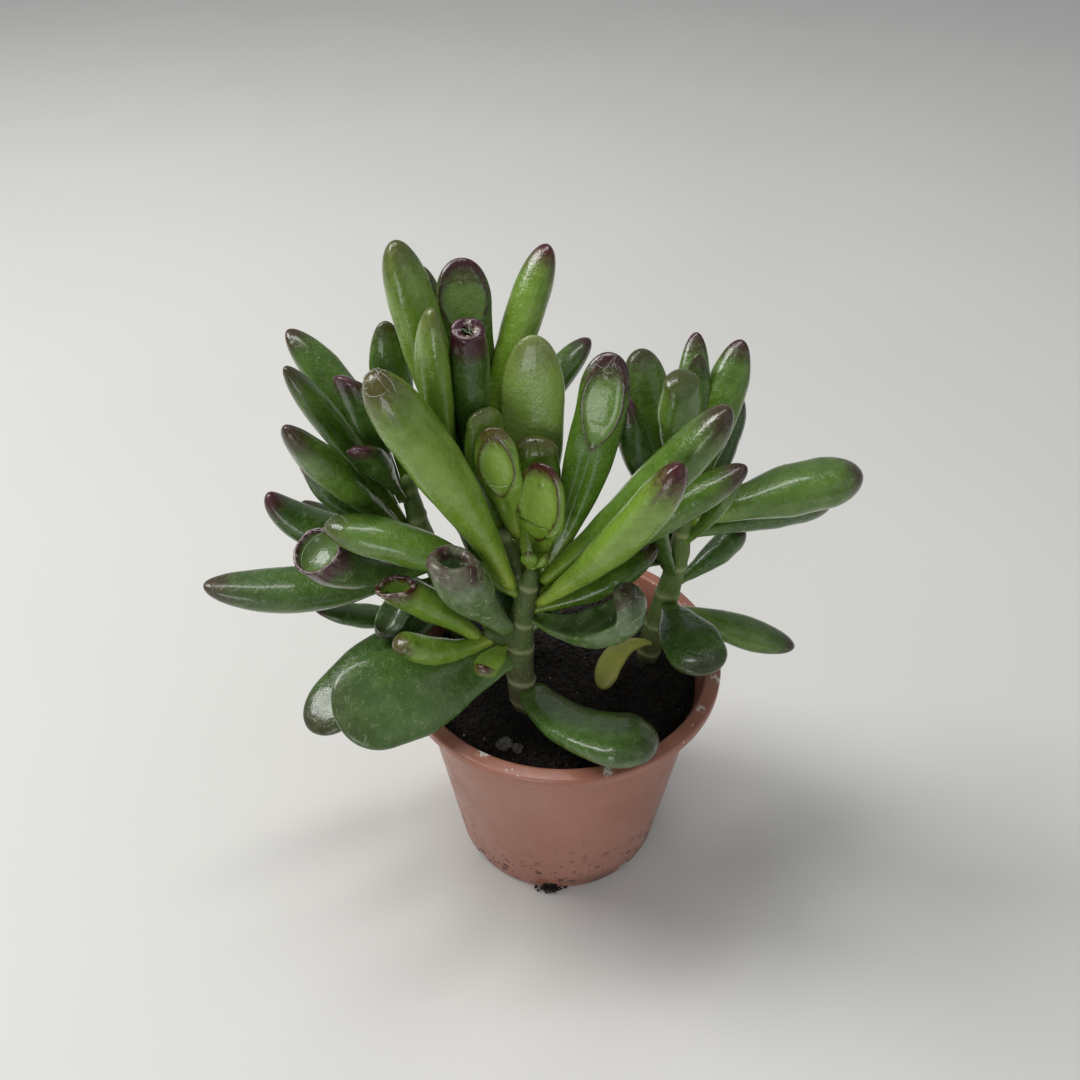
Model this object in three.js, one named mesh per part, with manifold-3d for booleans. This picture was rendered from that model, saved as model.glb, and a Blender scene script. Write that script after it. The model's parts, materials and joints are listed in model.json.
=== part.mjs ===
// A potted jade plant of the kind whose leaves are rolled into fingers, tubes and spoons.
// Four rooted stems stand in a turned-rim plastic nursery pot filled with dark potting soil.
// Millimetres, +Z up. The origin is the centre of the pot's flat base, on the table.
import * as THREE from "three";
import { mergeVertices } from "three/addons/utils/BufferGeometryUtils.js";
import Module from "manifold-3d";

const wasm = await Module();
wasm.setup();

// ---------------------------------------------------------------- driving dimensions
const potHeight = 70;
const potRimRadius = 45; // outer edge of the turned-out rim
const potRimWidth = 4; // flat top of the rim, from its inner to its outer edge
const potRimBand = 3.4; // height of the rim's outer band
const potRimFall = 0.5; // how far the rim's top slopes down towards the outside
const potBaseRadius = 30.7;
const potWall = 1.2;
const potFloor = 1.8;
const potFootRound = 0.8; // chamfer where the wall meets the base

const notchCount = 8; // drain notches around the bottom edge
const notchWidth = 4.5;
const notchHeight = 3;
const notchDepth = 3.5; // reach of a notch inwards from the base edge
const notchTurn = -95; // degrees, direction of the first notch
const drainCount = 6; // round drain holes through the floor
const drainRadius = 3;
const drainRing = 17; // distance of the drain holes from the axis

const soilDrop = 8; // from the rim's top down to the soil
const soilDome = 1.2; // how much higher the soil stands in the middle
const soilGap = 0.35; // clearance between soil and pot
const rootDepth = 20; // how deep a stem goes into the soil
const rootGap = 0.4; // clearance between a stem and its hole in the soil
const leafGap = 0.35; // clearance between a leaf's base and its stem

const soilTop = potHeight - soilDrop;
const degrees = Math.PI / 180;

// ---------------------------------------------------------------- finishes
const finish = (color, roughness) => new THREE.MeshStandardMaterial({ color, roughness, metalness: 0 });
const terracottaPlastic = () => finish(0x8a4a38, 0.42);
const pottingSoil = () => finish(0x1c1512, 0.98);
const oldStem = () => finish(0x6c6a48, 0.7);
const greenStem = () => finish(0x71883f, 0.55);
const youngLeaf = () => finish(0x7ca53c, 0.36);
const grownLeaf = () => finish(0x4f8034, 0.38);
const oldLeaf = () => finish(0x2f5430, 0.42);
const yellowLeaf = () => finish(0xb6ad45, 0.5);

// ---------------------------------------------------------------- stems
// Points are x, y and the height above the soil; thick and thin are radii at foot and top.
const stems = {
  main: {
    points: [
      [-9.4, -12.7, 0],
      [-11, -12, 9],
      [-11.2, -12, 17],
      [-10.6, -12, 30],
      [-9, -12, 42],
      [-7.8, -12, 50],
    ],
    thick: 3.9,
    thin: 2.6,
  },
  back: {
    points: [[-13, 10, 0], [-16, 10, 20], [-19, 9, 40], [-21.5, 8.5, 56], [-23.3, 8, 69]],
    thick: 3.3,
    thin: 2.4,
  },
  left: {
    points: [[-29.5, 16.5, 0], [-34.4, 18, 21], [-38, 18, 34], [-40.5, 18, 48], [-41.6, 18, 56]],
    thick: 3.3,
    thin: 2.4,
  },
  right: {
    points: [[25.5, 6, 0], [28.5, 6, 20], [31, 6, 35], [32, 6, 49], [33, 6, 58]],
    thick: 3.4,
    thin: 2.4,
  },
};
// Two short shoots that the main stem carries; their first point is inside that stem.
const shoots = {
  fork: {
    points: [[-10, -11, 36], [-12.5, -8, 47], [-16, -6, 57]],
    thick: 2.3,
    thin: 2.1,
  },
  side: {
    points: [[-11, -12.2, 24], [-15.5, -13.4, 27], [-20, -14.6, 30]],
    thick: 2.2,
    thin: 1.9,
  },
};

// ---------------------------------------------------------------- leaf forms
// thick: thickness as a share of the width. base: width at the stalk end as a share of the full
// width. peak: where along the leaf it is widest. tip: how blunt it ends, 1 pointed, 2 round.
// mouth: depth in millimetres of the hollow in a rolled leaf's end. slant: how far the mouth's
// inner edge stands back along the leaf, in leaf widths. rim: width of the mouth as a share.
const forms = {
  finger: { thick: 0.84, base: 0.42, peak: 0.7, tip: 2.5, mouth: 0, slant: 0 },
  pointed: { thick: 0.72, base: 0.42, peak: 0.6, tip: 1.8, mouth: 0, slant: 0 },
  paddle: { thick: 0.4, base: 0.36, peak: 0.68, tip: 3, mouth: 0, slant: 0 },
  tube: { thick: 0.88, base: 0.46, peak: 0.75, tip: 0, mouth: 4, slant: 0.2, rim: 0.84 },
  cup: { thick: 0.7, base: 0.4, peak: 0.75, tip: 0, mouth: 3, slant: 1.2, rim: 1 },
  curled: { thick: 0.6, base: 0.42, peak: 0.66, tip: 2.6, mouth: 0, slant: 0 },
};

// ---------------------------------------------------------------- leaves
// name, form, finish, how far along the stem, heading from +X, rise of the leaf's chord, length,
// width, then what bends it: bow lifts the middle off the chord, sway moves it to the left of the
// heading, roll turns the face about the leaf, and flat overrides the form's thickness share.
const leaf = (name, form, dress, at, heading, rise, length, width, bend = {}) => ({
  name: `${name}_${form}_leaf`,
  form,
  dress,
  at,
  heading,
  rise,
  length,
  width,
  bow: 0,
  sway: 0,
  roll: 0,
  ...bend,
});
const leaves = {
  main: [
    leaf("low_front", "finger", oldLeaf, 7.5, 325, 9, 39, 19.5, { sway: -6, bow: 1, roll: -22, flat: 0.4 }),
    leaf("broad_front", "paddle", oldLeaf, 20, 208, 3, 48, 24.5, { roll: -34, flat: 0.3 }),
    leaf("ear_front", "curled", oldLeaf, 34, 342, 30, 32, 13, { bow: -4, sway: -3, flat: 0.6 }),
    leaf("grey_front", "tube", oldLeaf, 33.5, 213, 65, 31, 12.2, { bow: -1 }),
    leaf("reaching", "finger", youngLeaf, 42, 334, 58, 60, 11.5, { bow: -2 }),
    leaf("under_reaching", "pointed", grownLeaf, 36, 12, 26, 34, 9.5, { bow: -2 }),
    leaf("spear", "finger", youngLeaf, 47, 186, 65, 67, 15, { bow: 2 }),
    leaf("left_reaching", "finger", grownLeaf, 42.5, 173, 19, 49.5, 11, { bow: 3 }),
    leaf("right_upper", "finger", grownLeaf, 48, 0, 51, 63, 12, { bow: -1 }),
    leaf("right_middle", "finger", grownLeaf, 41, 12, 32, 60, 9.5, { bow: 1 }),
    leaf("crown_double", "cup", grownLeaf, 46, 34, 72, 57, 12, { bow: -3, roll: 46, flat: 0.6 }),
    leaf("crown_window", "finger", youngLeaf, 38, 85, 71, 66, 15, { bow: -5, flat: 0.52 }),
    leaf("crown_notched", "tube", youngLeaf, 44.5, 82, 76, 34, 11.3, { bow: -1, flat: 0.5 }),
    leaf("crown_front", "cup", youngLeaf, 52.5, 55, 92, 22, 11.4, { flat: 0.36 }),
    leaf("crown_slender", "finger", grownLeaf, 33, 50, 67, 55, 6.6, { bow: -3 }),
  ],
  fork: [
    leaf("fork_front", "cup", youngLeaf, 21, 30, 100, 29, 10, { roll: 46, flat: 0.49 }),
    leaf("fork_back", "tube", youngLeaf, 14, 127, 81, 37, 10, { bow: -2, flat: 0.46 }),
    leaf("fork_shaded", "pointed", grownLeaf, 10, 168, 67, 58, 8, { bow: -1 }),
  ],
  side: [
    leaf("side_upper", "tube", youngLeaf, 10, 184, 43, 27, 9.2, { bow: 1 }),
    leaf("side_lower", "tube", youngLeaf, 7, 209, 25, 25, 7.8, { bow: -3 }),
    leaf("side_bud", "tube", youngLeaf, 5.5, 146, 48, 14, 5.8, { bow: 1 }),
    leaf("side_ear", "curled", youngLeaf, 4, 247, 8, 14, 6.8),
  ],
  back: [
    leaf("top_left", "finger", youngLeaf, 62, 145, 75, 62, 12, { bow: 1 }),
    leaf("top_left_rear", "finger", grownLeaf, 53, 122, 67, 62, 9.2),
    leaf("top_window", "cup", grownLeaf, 60, 98, 74, 53, 11.8, { bow: -1, flat: 0.44 }),
    leaf("top_right", "finger", youngLeaf, 69, 54, 58, 54, 9.8, { bow: 1 }),
    leaf("top_spear", "pointed", youngLeaf, 59, 204, 85, 54, 10.8, { bow: -2, flat: 0.6 }),
    leaf("top_dark", "tube", oldLeaf, 64, 275, 94, 43, 9.6, { bow: 1, flat: 0.8 }),
    leaf("rear_small", "finger", grownLeaf, 54, 44, 44, 49, 8.4, { bow: 5 }),
  ],
  left: [
    leaf("left_high", "pointed", grownLeaf, 50, 148, 51, 52, 9.8, { bow: 4 }),
    leaf("left_second", "pointed", grownLeaf, 44, 185, 63, 54, 8.6, { bow: 1 }),
    leaf("left_rear", "pointed", grownLeaf, 54, 106, 75, 43, 9.2, { bow: -1 }),
    leaf("left_cup", "cup", oldLeaf, 56, 214, 78, 36, 8.4, { roll: 20 }),
    leaf("left_third", "pointed", grownLeaf, 39.5, 221, 58, 57, 10.8),
    leaf("left_dark", "tube", oldLeaf, 40, 181, 47, 31, 12, { bow: -3, flat: 0.66 }),
    leaf("left_slim", "cup", oldLeaf, 53, 244, 60, 30, 6.4, { roll: 20 }),
    leaf("left_hook", "pointed", oldLeaf, 35, 180, 21, 42, 13, { bow: -5 }),
    leaf("left_sucker", "tube", oldLeaf, 32, 225, 35, 37, 16, { bow: -2 }),
    leaf("low_long", "pointed", oldLeaf, 26, 195, 6, 60, 15, { bow: -4 }),
    leaf("low_ear", "curled", oldLeaf, 22, 234, -18, 22, 10, { bow: 4 }),
    leaf("low_rear", "paddle", oldLeaf, 12, 231, -9, 52, 18, { bow: 3 }),
  ],
  right: [
    leaf("right_long", "finger", grownLeaf, 52, 12, 9, 45, 15, { bow: 1 }),
    leaf("right_long_lower", "finger", oldLeaf, 46, 24, -4, 45, 10, { bow: 1 }),
    leaf("right_low", "finger", oldLeaf, 29, 29, 30, 22, 8, { bow: -1 }),
    leaf("right_lowest", "pointed", grownLeaf, 19, 357, -20, 37, 11),
    leaf("right_broad", "paddle", oldLeaf, 24, 280, 10, 32, 16, { bow: 2 }),
    leaf("right_top", "pointed", grownLeaf, 49, 84, 52, 49, 7.8, { bow: 1 }),
    leaf("right_top_rear", "pointed", grownLeaf, 58, 60, 60, 40, 9.4, { bow: 1 }),
    leaf("right_sucker", "tube", grownLeaf, 58, 140, 88, 32, 10.2, { flat: 0.7 }),
    leaf("right_rear", "finger", grownLeaf, 52, 122, 62, 43, 11.4, { bow: -1, flat: 0.7 }),
    leaf("right_shaded", "finger", oldLeaf, 52, 177, 70, 38, 8.6, { bow: -2 }),
    leaf("right_dark", "finger", oldLeaf, 46, 60, 46, 38, 9, { bow: -2 }),
    leaf("right_inner", "paddle", oldLeaf, 38, 190, 22, 19, 10.5, { bow: -1 }),
    leaf("fading", "finger", yellowLeaf, 9, 233, -3, 22, 6.8, { bow: 3, sway: -3 }),
  ],
};

// ---------------------------------------------------------------- solids
const axisZ = new THREE.Vector3(0, 0, 1);
const smoothstep = (share) => {
  const s = Math.min(Math.max(share, 0), 1);
  return s * s * (3 - 2 * s);
};

/** Bare geometry with shared vertices merged, ready to be a solid. */
function weld(geometry) {
  geometry.deleteAttribute("normal");
  geometry.deleteAttribute("uv");
  return mergeVertices(geometry, 1e-4);
}

function toSolid(geometry) {
  const welded = weld(geometry);
  const vertProperties = new Float32Array(welded.attributes.position.array);
  const triVerts = new Uint32Array(welded.index.array);
  return new wasm.Manifold(new wasm.Mesh({ numProp: 3, vertProperties, triVerts }));
}

function toGeometry(solid) {
  const mesh = solid.getMesh();
  const geometry = new THREE.BufferGeometry();
  geometry.setAttribute("position", new THREE.BufferAttribute(new Float32Array(mesh.vertProperties), 3));
  geometry.setIndex(new THREE.BufferAttribute(new Uint32Array(mesh.triVerts), 1));
  geometry.computeVertexNormals();
  return geometry;
}

/** A closed shape whose cross-sections follow each other from pole to pole: rows of a sphere moved
 *  by place(row, angle), where the row runs from 0 at the start to rows at the end. */
function ringShape(around, rows, place) {
  const geometry = new THREE.SphereGeometry(1, around, rows);
  const position = geometry.attributes.position;
  for (let row = 0; row <= rows; row += 1) {
    for (let step = 0; step <= around; step += 1) {
      const angle = ((step % around) / around) * 2 * Math.PI;
      const point = place(row, angle);
      position.setXYZ(row * (around + 1) + step, point.x, point.y, point.z);
    }
  }
  return geometry;
}

// ---------------------------------------------------------------- pot and soil
const potWallTop = potHeight - potRimBand; // where the wall turns out into the rim
const potMouthRadius = potRimRadius - potRimWidth;
const potSlope = (potMouthRadius - potBaseRadius) / potHeight;
const innerRadiusAt = (height) => potBaseRadius - potWall + potSlope * height;
const outerRadiusAt = (height) => potBaseRadius + potSlope * height;

function revolve(profile, segments) {
  const points = profile.map(([radius, height]) => new THREE.Vector2(radius, height));
  return new THREE.LatheGeometry(points, segments).rotateX(Math.PI / 2);
}

function potGeometry() {
  const profile = [
    [0, 0],
    [potBaseRadius - potFootRound, 0],
    [potBaseRadius, potFootRound],
    [outerRadiusAt(potWallTop), potWallTop],
    [potRimRadius - potRimWidth / 8, potWallTop],
    [potRimRadius, potWallTop + potRimBand / 8],
    [potRimRadius, potHeight - potRimFall - potRimBand / 8],
    [potRimRadius - potRimWidth / 8, potHeight - potRimFall],
    [potMouthRadius + potRimWidth / 8, potHeight],
    [potMouthRadius, potHeight - potRimBand / 8],
    [innerRadiusAt(potWallTop), potWallTop - potWall],
    [innerRadiusAt(potFloor), potFloor],
    [0, potFloor],
  ];
  let pot = toSolid(revolve(profile, 48));
  for (let index = 0; index < notchCount; index += 1) {
    const cutter = new THREE.BoxGeometry(notchDepth * 2, notchWidth, notchHeight * 2);
    cutter.translate(potBaseRadius, 0, 0);
    cutter.rotateZ((notchTurn + (index * 360) / notchCount) * degrees);
    pot = pot.subtract(toSolid(cutter));
  }
  for (let index = 0; index < drainCount; index += 1) {
    const cutter = new THREE.CylinderGeometry(drainRadius, drainRadius, potFloor * 4, 12);
    cutter.rotateX(Math.PI / 2);
    cutter.translate(drainRing, 0, 0);
    cutter.rotateZ(((index * 360) / drainCount) * degrees);
    pot = pot.subtract(toSolid(cutter));
  }
  return toGeometry(pot);
}

function soilGeometry(rootHoles) {
  const bottom = potFloor + soilGap;
  const profile = [
    [0, bottom],
    [innerRadiusAt(bottom) - soilGap, bottom],
    [innerRadiusAt(soilTop) - soilGap, soilTop],
    [innerRadiusAt(soilTop) * 0.6, soilTop + soilDome * 0.6],
    [0, soilTop + soilDome],
  ];
  let soil = toSolid(revolve(profile, 40));
  for (const hole of rootHoles) {
    soil = soil.subtract(hole);
  }
  return toGeometry(soil);
}

// ---------------------------------------------------------------- stems
/** The centre line of a stem above the soil, or of a shoot. */
function stemCurve({ points }) {
  return new THREE.CatmullRomCurve3(points.map(([x, y, up]) => new THREE.Vector3(x, y, soilTop + up)));
}

/** A round rod along a curve, with domed ends, grown by `swell` on every side. */
function rod(curve, { thick, thin }, rows, swell) {
  const length = curve.getLength();
  return ringShape(8, rows, (row, angle) => {
    const share = 0.5 - 0.5 * Math.cos((Math.PI * row) / rows);
    const along = (share * (length + 2 * swell) - swell) / length;
    const held = Math.min(Math.max(along, 0), 1);
    const tangent = curve.getTangentAt(held);
    const middle = curve.getPointAt(held).addScaledVector(tangent, (along - held) * length);
    const side = new THREE.Vector3().crossVectors(tangent, new THREE.Vector3(0, 1, 0)).normalize();
    const front = new THREE.Vector3().crossVectors(side, tangent);
    const dome = Math.sqrt(Math.sin((Math.PI * row) / rows));
    const radius = (THREE.MathUtils.lerp(thick, thin, share) + swell) * dome;
    middle.addScaledVector(side, -Math.cos(angle) * radius);
    middle.addScaledVector(front, -Math.sin(angle) * radius);
    return middle;
  });
}

/** The whole stem from its root end in the soil to its top, grown by `swell`. */
function stemSolid(stem, swell) {
  const [footX, footY] = stem.points[0];
  const rooted = { ...stem, points: [[footX, footY, -rootDepth], ...stem.points] };
  return toSolid(rod(stemCurve(rooted), stem, 14, swell));
}

// ---------------------------------------------------------------- leaves
/** Half the leaf's width at a station, as a share of its greatest half width. */
function girthShare(form, share) {
  const grown = form.base + (1 - form.base) * smoothstep(share / (form.peak * 0.9));
  const opened = Math.sqrt(1 - (1 - Math.min(share / 0.07, 1)) ** 2);
  const beyond = Math.max(0, (share - form.peak) / (1 - form.peak));
  if (form.mouth > 0) {
    return grown * opened * THREE.MathUtils.lerp(1, form.rim, beyond ** 2);
  }
  return grown * opened * Math.sqrt(1 - beyond ** form.tip);
}

/** One leaf in its own frame: its stalk end at the origin, +X its heading, +Z up. */
function leafGeometry(item) {
  const form = forms[item.form];
  const around = 8;
  const rows = 9;
  const rise = item.rise * degrees;
  const roll = item.roll * degrees;
  const chord = new THREE.Vector3(Math.cos(rise), 0, Math.sin(rise));
  const left = new THREE.Vector3(0, 1, 0);
  const above = new THREE.Vector3().crossVectors(chord, left);
  const middle = chord.clone().multiplyScalar(item.length / 2);
  middle.addScaledVector(above, 2 * item.bow);
  middle.addScaledVector(left, 2 * item.sway);
  const tip = chord.clone().multiplyScalar(item.length);
  const curve = new THREE.QuadraticBezierCurve3(new THREE.Vector3(), middle, tip);
  const halfWidth = item.width / 2;
  const thick = item.width * (item.flat ?? form.thick);

  const onLeaf = (share, girth, angle) => {
    const forward = curve.getTangent(share);
    const lift = new THREE.Vector3().crossVectors(forward, left).normalize();
    const side = new THREE.Vector3().crossVectors(lift, forward);
    const across = side.clone().multiplyScalar(Math.cos(roll)).addScaledVector(lift, Math.sin(roll));
    const upper = lift.multiplyScalar(Math.cos(roll)).addScaledVector(side, -Math.sin(roll));
    const height = thick * (Math.sin(angle) > 0 ? 0.42 : 0.58);
    const point = curve.getPoint(share);
    point.addScaledVector(across, -Math.cos(angle) * girth * halfWidth);
    point.addScaledVector(upper, Math.sin(angle) * girth * height);
    return point;
  };

  const closedRow = (row, angle) => {
    const share = 0.5 - 0.5 * Math.cos((Math.PI * row) / rows);
    return onLeaf(share, row === 0 || row === rows ? 0 : girthShare(form, share), angle);
  };
  const slant = (form.slant * item.width) / item.length;
  const openRow = (row, angle) => {
    const rim = rows - 2;
    const share = Math.min(row / rim, 1) ** 1.4;
    const drawn = share - (slant * share ** 3 * (1 + Math.sin(angle))) / 2;
    if (row <= rim) {
      return onLeaf(drawn, row === 0 ? 0 : girthShare(form, share), angle);
    }
    const hollow = form.mouth / item.length;
    if (row === rim + 1) {
      return onLeaf(drawn - hollow * 0.3, girthShare(form, 1) * 0.74, angle);
    }
    return onLeaf(1 - slant / 2 - hollow, 0, angle);
  };
  return ringShape(around, rows, form.mouth > 0 ? openRow : closedRow);
}

/** A leaf's mesh, standing off its stem's surface by the leaf gap. */
function leafMesh(item, curve, stem) {
  const share = Math.min(item.at / curve.getLength(), 1);
  const radius = THREE.MathUtils.lerp(stem.thick, stem.thin, share);
  const form = forms[item.form];
  const stalkHalf = (item.width * (item.flat ?? form.thick) * form.base) / 2;
  const reach = radius + leafGap + stalkHalf * Math.sin(Math.abs(item.rise) * degrees);
  const mesh = new THREE.Mesh(weld(leafGeometry(item)), item.dress());
  mesh.geometry.computeVertexNormals();
  mesh.name = item.name;
  mesh.rotation.z = item.heading * degrees;
  mesh.position.copy(curve.getPointAt(share));
  mesh.position.add(new THREE.Vector3(reach, 0, 0).applyAxisAngle(axisZ, mesh.rotation.z));
  return mesh;
}

// ---------------------------------------------------------------- assembly
const plant = new THREE.Group();

function place(name, geometry, material) {
  const mesh = new THREE.Mesh(geometry, material);
  mesh.name = name;
  plant.add(mesh);
}

place("pot", potGeometry(), terracottaPlastic());
place("soil", soilGeometry(Object.values(stems).map((stem) => stemSolid(stem, rootGap))), pottingSoil());

for (const [name, stem] of Object.entries(stems)) {
  let solid = stemSolid(stem, 0);
  if (name === "main") {
    for (const shoot of Object.values(shoots)) {
      solid = solid.add(toSolid(rod(stemCurve(shoot), shoot, 8, 0)));
    }
  }
  place(`${name}_stem`, toGeometry(solid), name === "main" ? oldStem() : greenStem());
}

const carriers = { ...stems, ...shoots };
for (const [name, items] of Object.entries(leaves)) {
  const tuft = new THREE.Group();
  const curve = stemCurve(carriers[name]);
  for (const item of items) {
    tuft.add(leafMesh(item, curve, carriers[name]));
  }
  plant.add(tuft);
}

export default plant;
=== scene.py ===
"""A potted jade plant with rolled leaves, dressed around its CAD frame.

Every leaf is rebuilt smooth from the rings of its own CAD solid, the stems get bark and leaf
scars, the pot gets rounded edges, and the soil gets crumbs, grit and pebbles.
"""

from __future__ import annotations

import json
import logging
import math
import zlib
from dataclasses import dataclass
from enum import Enum
from typing import Any

import bmesh
import bpy
import numpy as np
from mathutils import Matrix, Vector, noise
from mathutils.bvhtree import BVHTree

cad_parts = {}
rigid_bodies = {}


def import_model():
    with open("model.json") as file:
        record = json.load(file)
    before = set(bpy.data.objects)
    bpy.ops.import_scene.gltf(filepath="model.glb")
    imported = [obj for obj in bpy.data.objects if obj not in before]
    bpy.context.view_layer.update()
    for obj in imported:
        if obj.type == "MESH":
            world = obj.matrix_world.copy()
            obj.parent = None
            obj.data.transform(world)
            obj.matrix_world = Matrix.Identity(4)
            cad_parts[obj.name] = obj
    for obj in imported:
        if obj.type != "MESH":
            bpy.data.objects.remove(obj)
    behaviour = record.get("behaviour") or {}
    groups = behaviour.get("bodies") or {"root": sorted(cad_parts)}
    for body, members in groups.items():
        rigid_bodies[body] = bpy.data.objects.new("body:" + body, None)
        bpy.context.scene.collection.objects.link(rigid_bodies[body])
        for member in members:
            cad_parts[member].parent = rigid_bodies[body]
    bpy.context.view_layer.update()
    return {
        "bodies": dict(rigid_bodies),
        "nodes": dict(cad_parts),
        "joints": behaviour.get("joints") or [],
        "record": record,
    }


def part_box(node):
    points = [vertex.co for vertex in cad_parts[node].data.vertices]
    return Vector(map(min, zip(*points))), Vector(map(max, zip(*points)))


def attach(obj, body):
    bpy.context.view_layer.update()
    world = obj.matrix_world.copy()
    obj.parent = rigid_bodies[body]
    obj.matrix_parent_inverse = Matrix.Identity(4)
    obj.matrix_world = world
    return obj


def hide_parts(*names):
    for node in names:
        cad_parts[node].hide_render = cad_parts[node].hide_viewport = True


MM = 0.001
FULL_TURN = 2 * math.pi
BODY = "root"
WELD = 2e-6  # corners closer than this are the same corner
SOIL_DROP = 8 * MM  # from the pot's rim down to the soil

Colour = tuple[float, float, float, float]

log = logging.getLogger("jade")


# ------------------------------------------------------------------ small tools
def tint(red: int, green: int, blue: int) -> Colour:
    """A display colour given from 0 to 255, as the linear colour that shaders take.

    Args:
        red: red share, 0 to 255.
        green: green share, 0 to 255.
        blue: blue share, 0 to 255.

    Returns:
        The linear colour with full alpha.
    """

    def linear(share: float) -> float:
        """One channel, from display to linear."""
        return share / 12.92 if share <= 0.04045 else ((share + 0.055) / 1.055) ** 2.4

    return (linear(red / 255), linear(green / 255), linear(blue / 255), 1.0)


def glide(knots: np.ndarray, values: np.ndarray, at: np.ndarray, steady: bool = False) -> np.ndarray:
    """A smooth curve through values at knots, read at other places.

    Args:
        knots: rising positions, one for each value.
        values: one number or vector for each knot.
        at: where to read the curve.
        steady: keeps the curve from swinging past its values.

    Returns:
        The values at those places.
    """
    flat = values.ndim == 1
    table = values.reshape(len(knots), -1).astype(float)
    gaps = np.diff(knots)[:, None]
    steps = np.diff(table, axis=0) / gaps
    slopes = np.empty_like(table)
    slopes[0], slopes[-1] = steps[0], steps[-1]
    slopes[1:-1] = (steps[:-1] * gaps[1:] + steps[1:] * gaps[:-1]) / (gaps[1:] + gaps[:-1])
    if steady:
        same_way = steps[:-1] * steps[1:] > 0
        limit = 2.5 * np.minimum(abs(steps[:-1]), abs(steps[1:]))
        slopes[1:-1] = np.where(same_way, np.clip(slopes[1:-1], -limit, limit), 0)
    place = np.clip(at, knots[0], knots[-1])
    cell = np.clip(np.searchsorted(knots, place) - 1, 0, len(knots) - 2)
    gap = gaps[cell]
    share = (place - knots[cell])[:, None] / gap
    after = share - 1
    result = (
        table[cell] * (1 + 2 * share) * after**2
        + table[cell + 1] * share**2 * (3 - 2 * share)
        + slopes[cell] * gap * share * after**2
        + slopes[cell + 1] * gap * share**2 * after
    )
    return result[:, 0] if flat else result


def unit(vectors: np.ndarray) -> np.ndarray:
    """The same vectors, each of length one."""
    return vectors / np.maximum(np.linalg.norm(vectors, axis=-1, keepdims=True), 1e-12)


def seeded(name: str) -> np.random.Generator:
    """A random source of its own for each piece, the same in every run."""
    return np.random.default_rng(zlib.crc32(name.encode()))


def new_object(name: str, data: bpy.types.ID) -> bpy.types.Object:
    """An object at the origin that holds a mesh, a lamp or a camera.

    Args:
        name: what it is called.
        data: the mesh, lamp or camera.

    Returns:
        The object, in the scene.
    """
    made = bpy.data.objects.new(name, data)
    bpy.context.scene.collection.objects.link(made)
    return made


def mesh_from(name: str, points: np.ndarray, faces: list[tuple[int, ...]]) -> bpy.types.Mesh:
    """A smooth mesh with its faces pointing outwards.

    Args:
        name: name of the mesh.
        points: vertex places in metres.
        faces: vertex numbers of each face.

    Returns:
        The mesh.
    """
    mesh = bpy.data.meshes.new(name)
    mesh.from_pydata(points.tolist(), [], faces)
    mesh.validate()
    shell = bmesh.new()
    shell.from_mesh(mesh)
    if shell.calc_volume(signed=True) < 0:
        bmesh.ops.reverse_faces(shell, faces=shell.faces)
    shell.to_mesh(mesh)
    shell.free()
    mesh.shade_smooth()
    return mesh


def write_marks(mesh: bpy.types.Mesh, marks: dict[str, np.ndarray]) -> None:
    """Stores one number per vertex under each name, for the material to read.

    Args:
        mesh: the mesh to mark.
        marks: values by mark name.
    """
    for name, values in marks.items():
        layer = mesh.attributes.new(name, "FLOAT", "POINT")
        layer.data.foreach_set("value", np.asarray(values, np.float32))


def places(mesh: bpy.types.Mesh) -> np.ndarray:
    """The mesh's vertex places, one row each.

    Args:
        mesh: the mesh to read.

    Returns:
        The places as floats.
    """
    flat = np.empty(len(mesh.vertices) * 3, np.float32)
    mesh.vertices.foreach_get("co", flat)
    return flat.reshape(-1, 3).astype(float)


def move_places(mesh: bpy.types.Mesh, points: np.ndarray) -> None:
    """Puts the mesh's vertices at new places."""
    mesh.vertices.foreach_set("co", points.astype(np.float32).ravel())
    mesh.update()


def normals_of(mesh: bpy.types.Mesh) -> np.ndarray:
    """The mesh's vertex normals, one row each.

    Args:
        mesh: the mesh to read.

    Returns:
        The normals as floats.
    """
    flat = np.empty(len(mesh.vertices) * 3, np.float32)
    mesh.vertex_normals.foreach_get("vector", flat)
    return flat.reshape(-1, 3).astype(float)


def solid_copy(node: bpy.types.Object, name: str) -> bpy.types.Object:
    """A copy of a CAD node whose loose triangles are joined at their corners.

    Args:
        node: the CAD node.
        name: what the copy is called.

    Returns:
        The copy, without materials.
    """
    mesh = node.data.copy()
    shell = bmesh.new()
    shell.from_mesh(mesh)
    bmesh.ops.remove_doubles(shell, verts=shell.verts, dist=WELD)
    shell.to_mesh(mesh)
    shell.free()
    mesh.materials.clear()
    return new_object(name, mesh)


def applied(thing: bpy.types.Object) -> bpy.types.Object:
    """Turns the object's modifiers into plain mesh and removes them.

    Args:
        thing: the object to settle.

    Returns:
        The same object.
    """
    graph = bpy.context.evaluated_depsgraph_get()
    graph.update()
    mesh = bpy.data.meshes.new_from_object(thing.evaluated_get(graph))
    thing.modifiers.clear()
    old = thing.data
    thing.data = mesh
    bpy.data.meshes.remove(old)
    return thing


def joined(name: str, things: list[bpy.types.Object]) -> bpy.types.Object:
    """One object made of several, with their materials and marks kept.

    Args:
        name: name of the new piece.
        things: the objects to join, which are used up.

    Returns:
        The joined object.
    """
    with bpy.context.temp_override(
        active_object=things[0], selected_editable_objects=things, selected_objects=things
    ):
        bpy.ops.object.join()
    things[0].name = name
    things[0].data.name = name
    return things[0]


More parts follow.
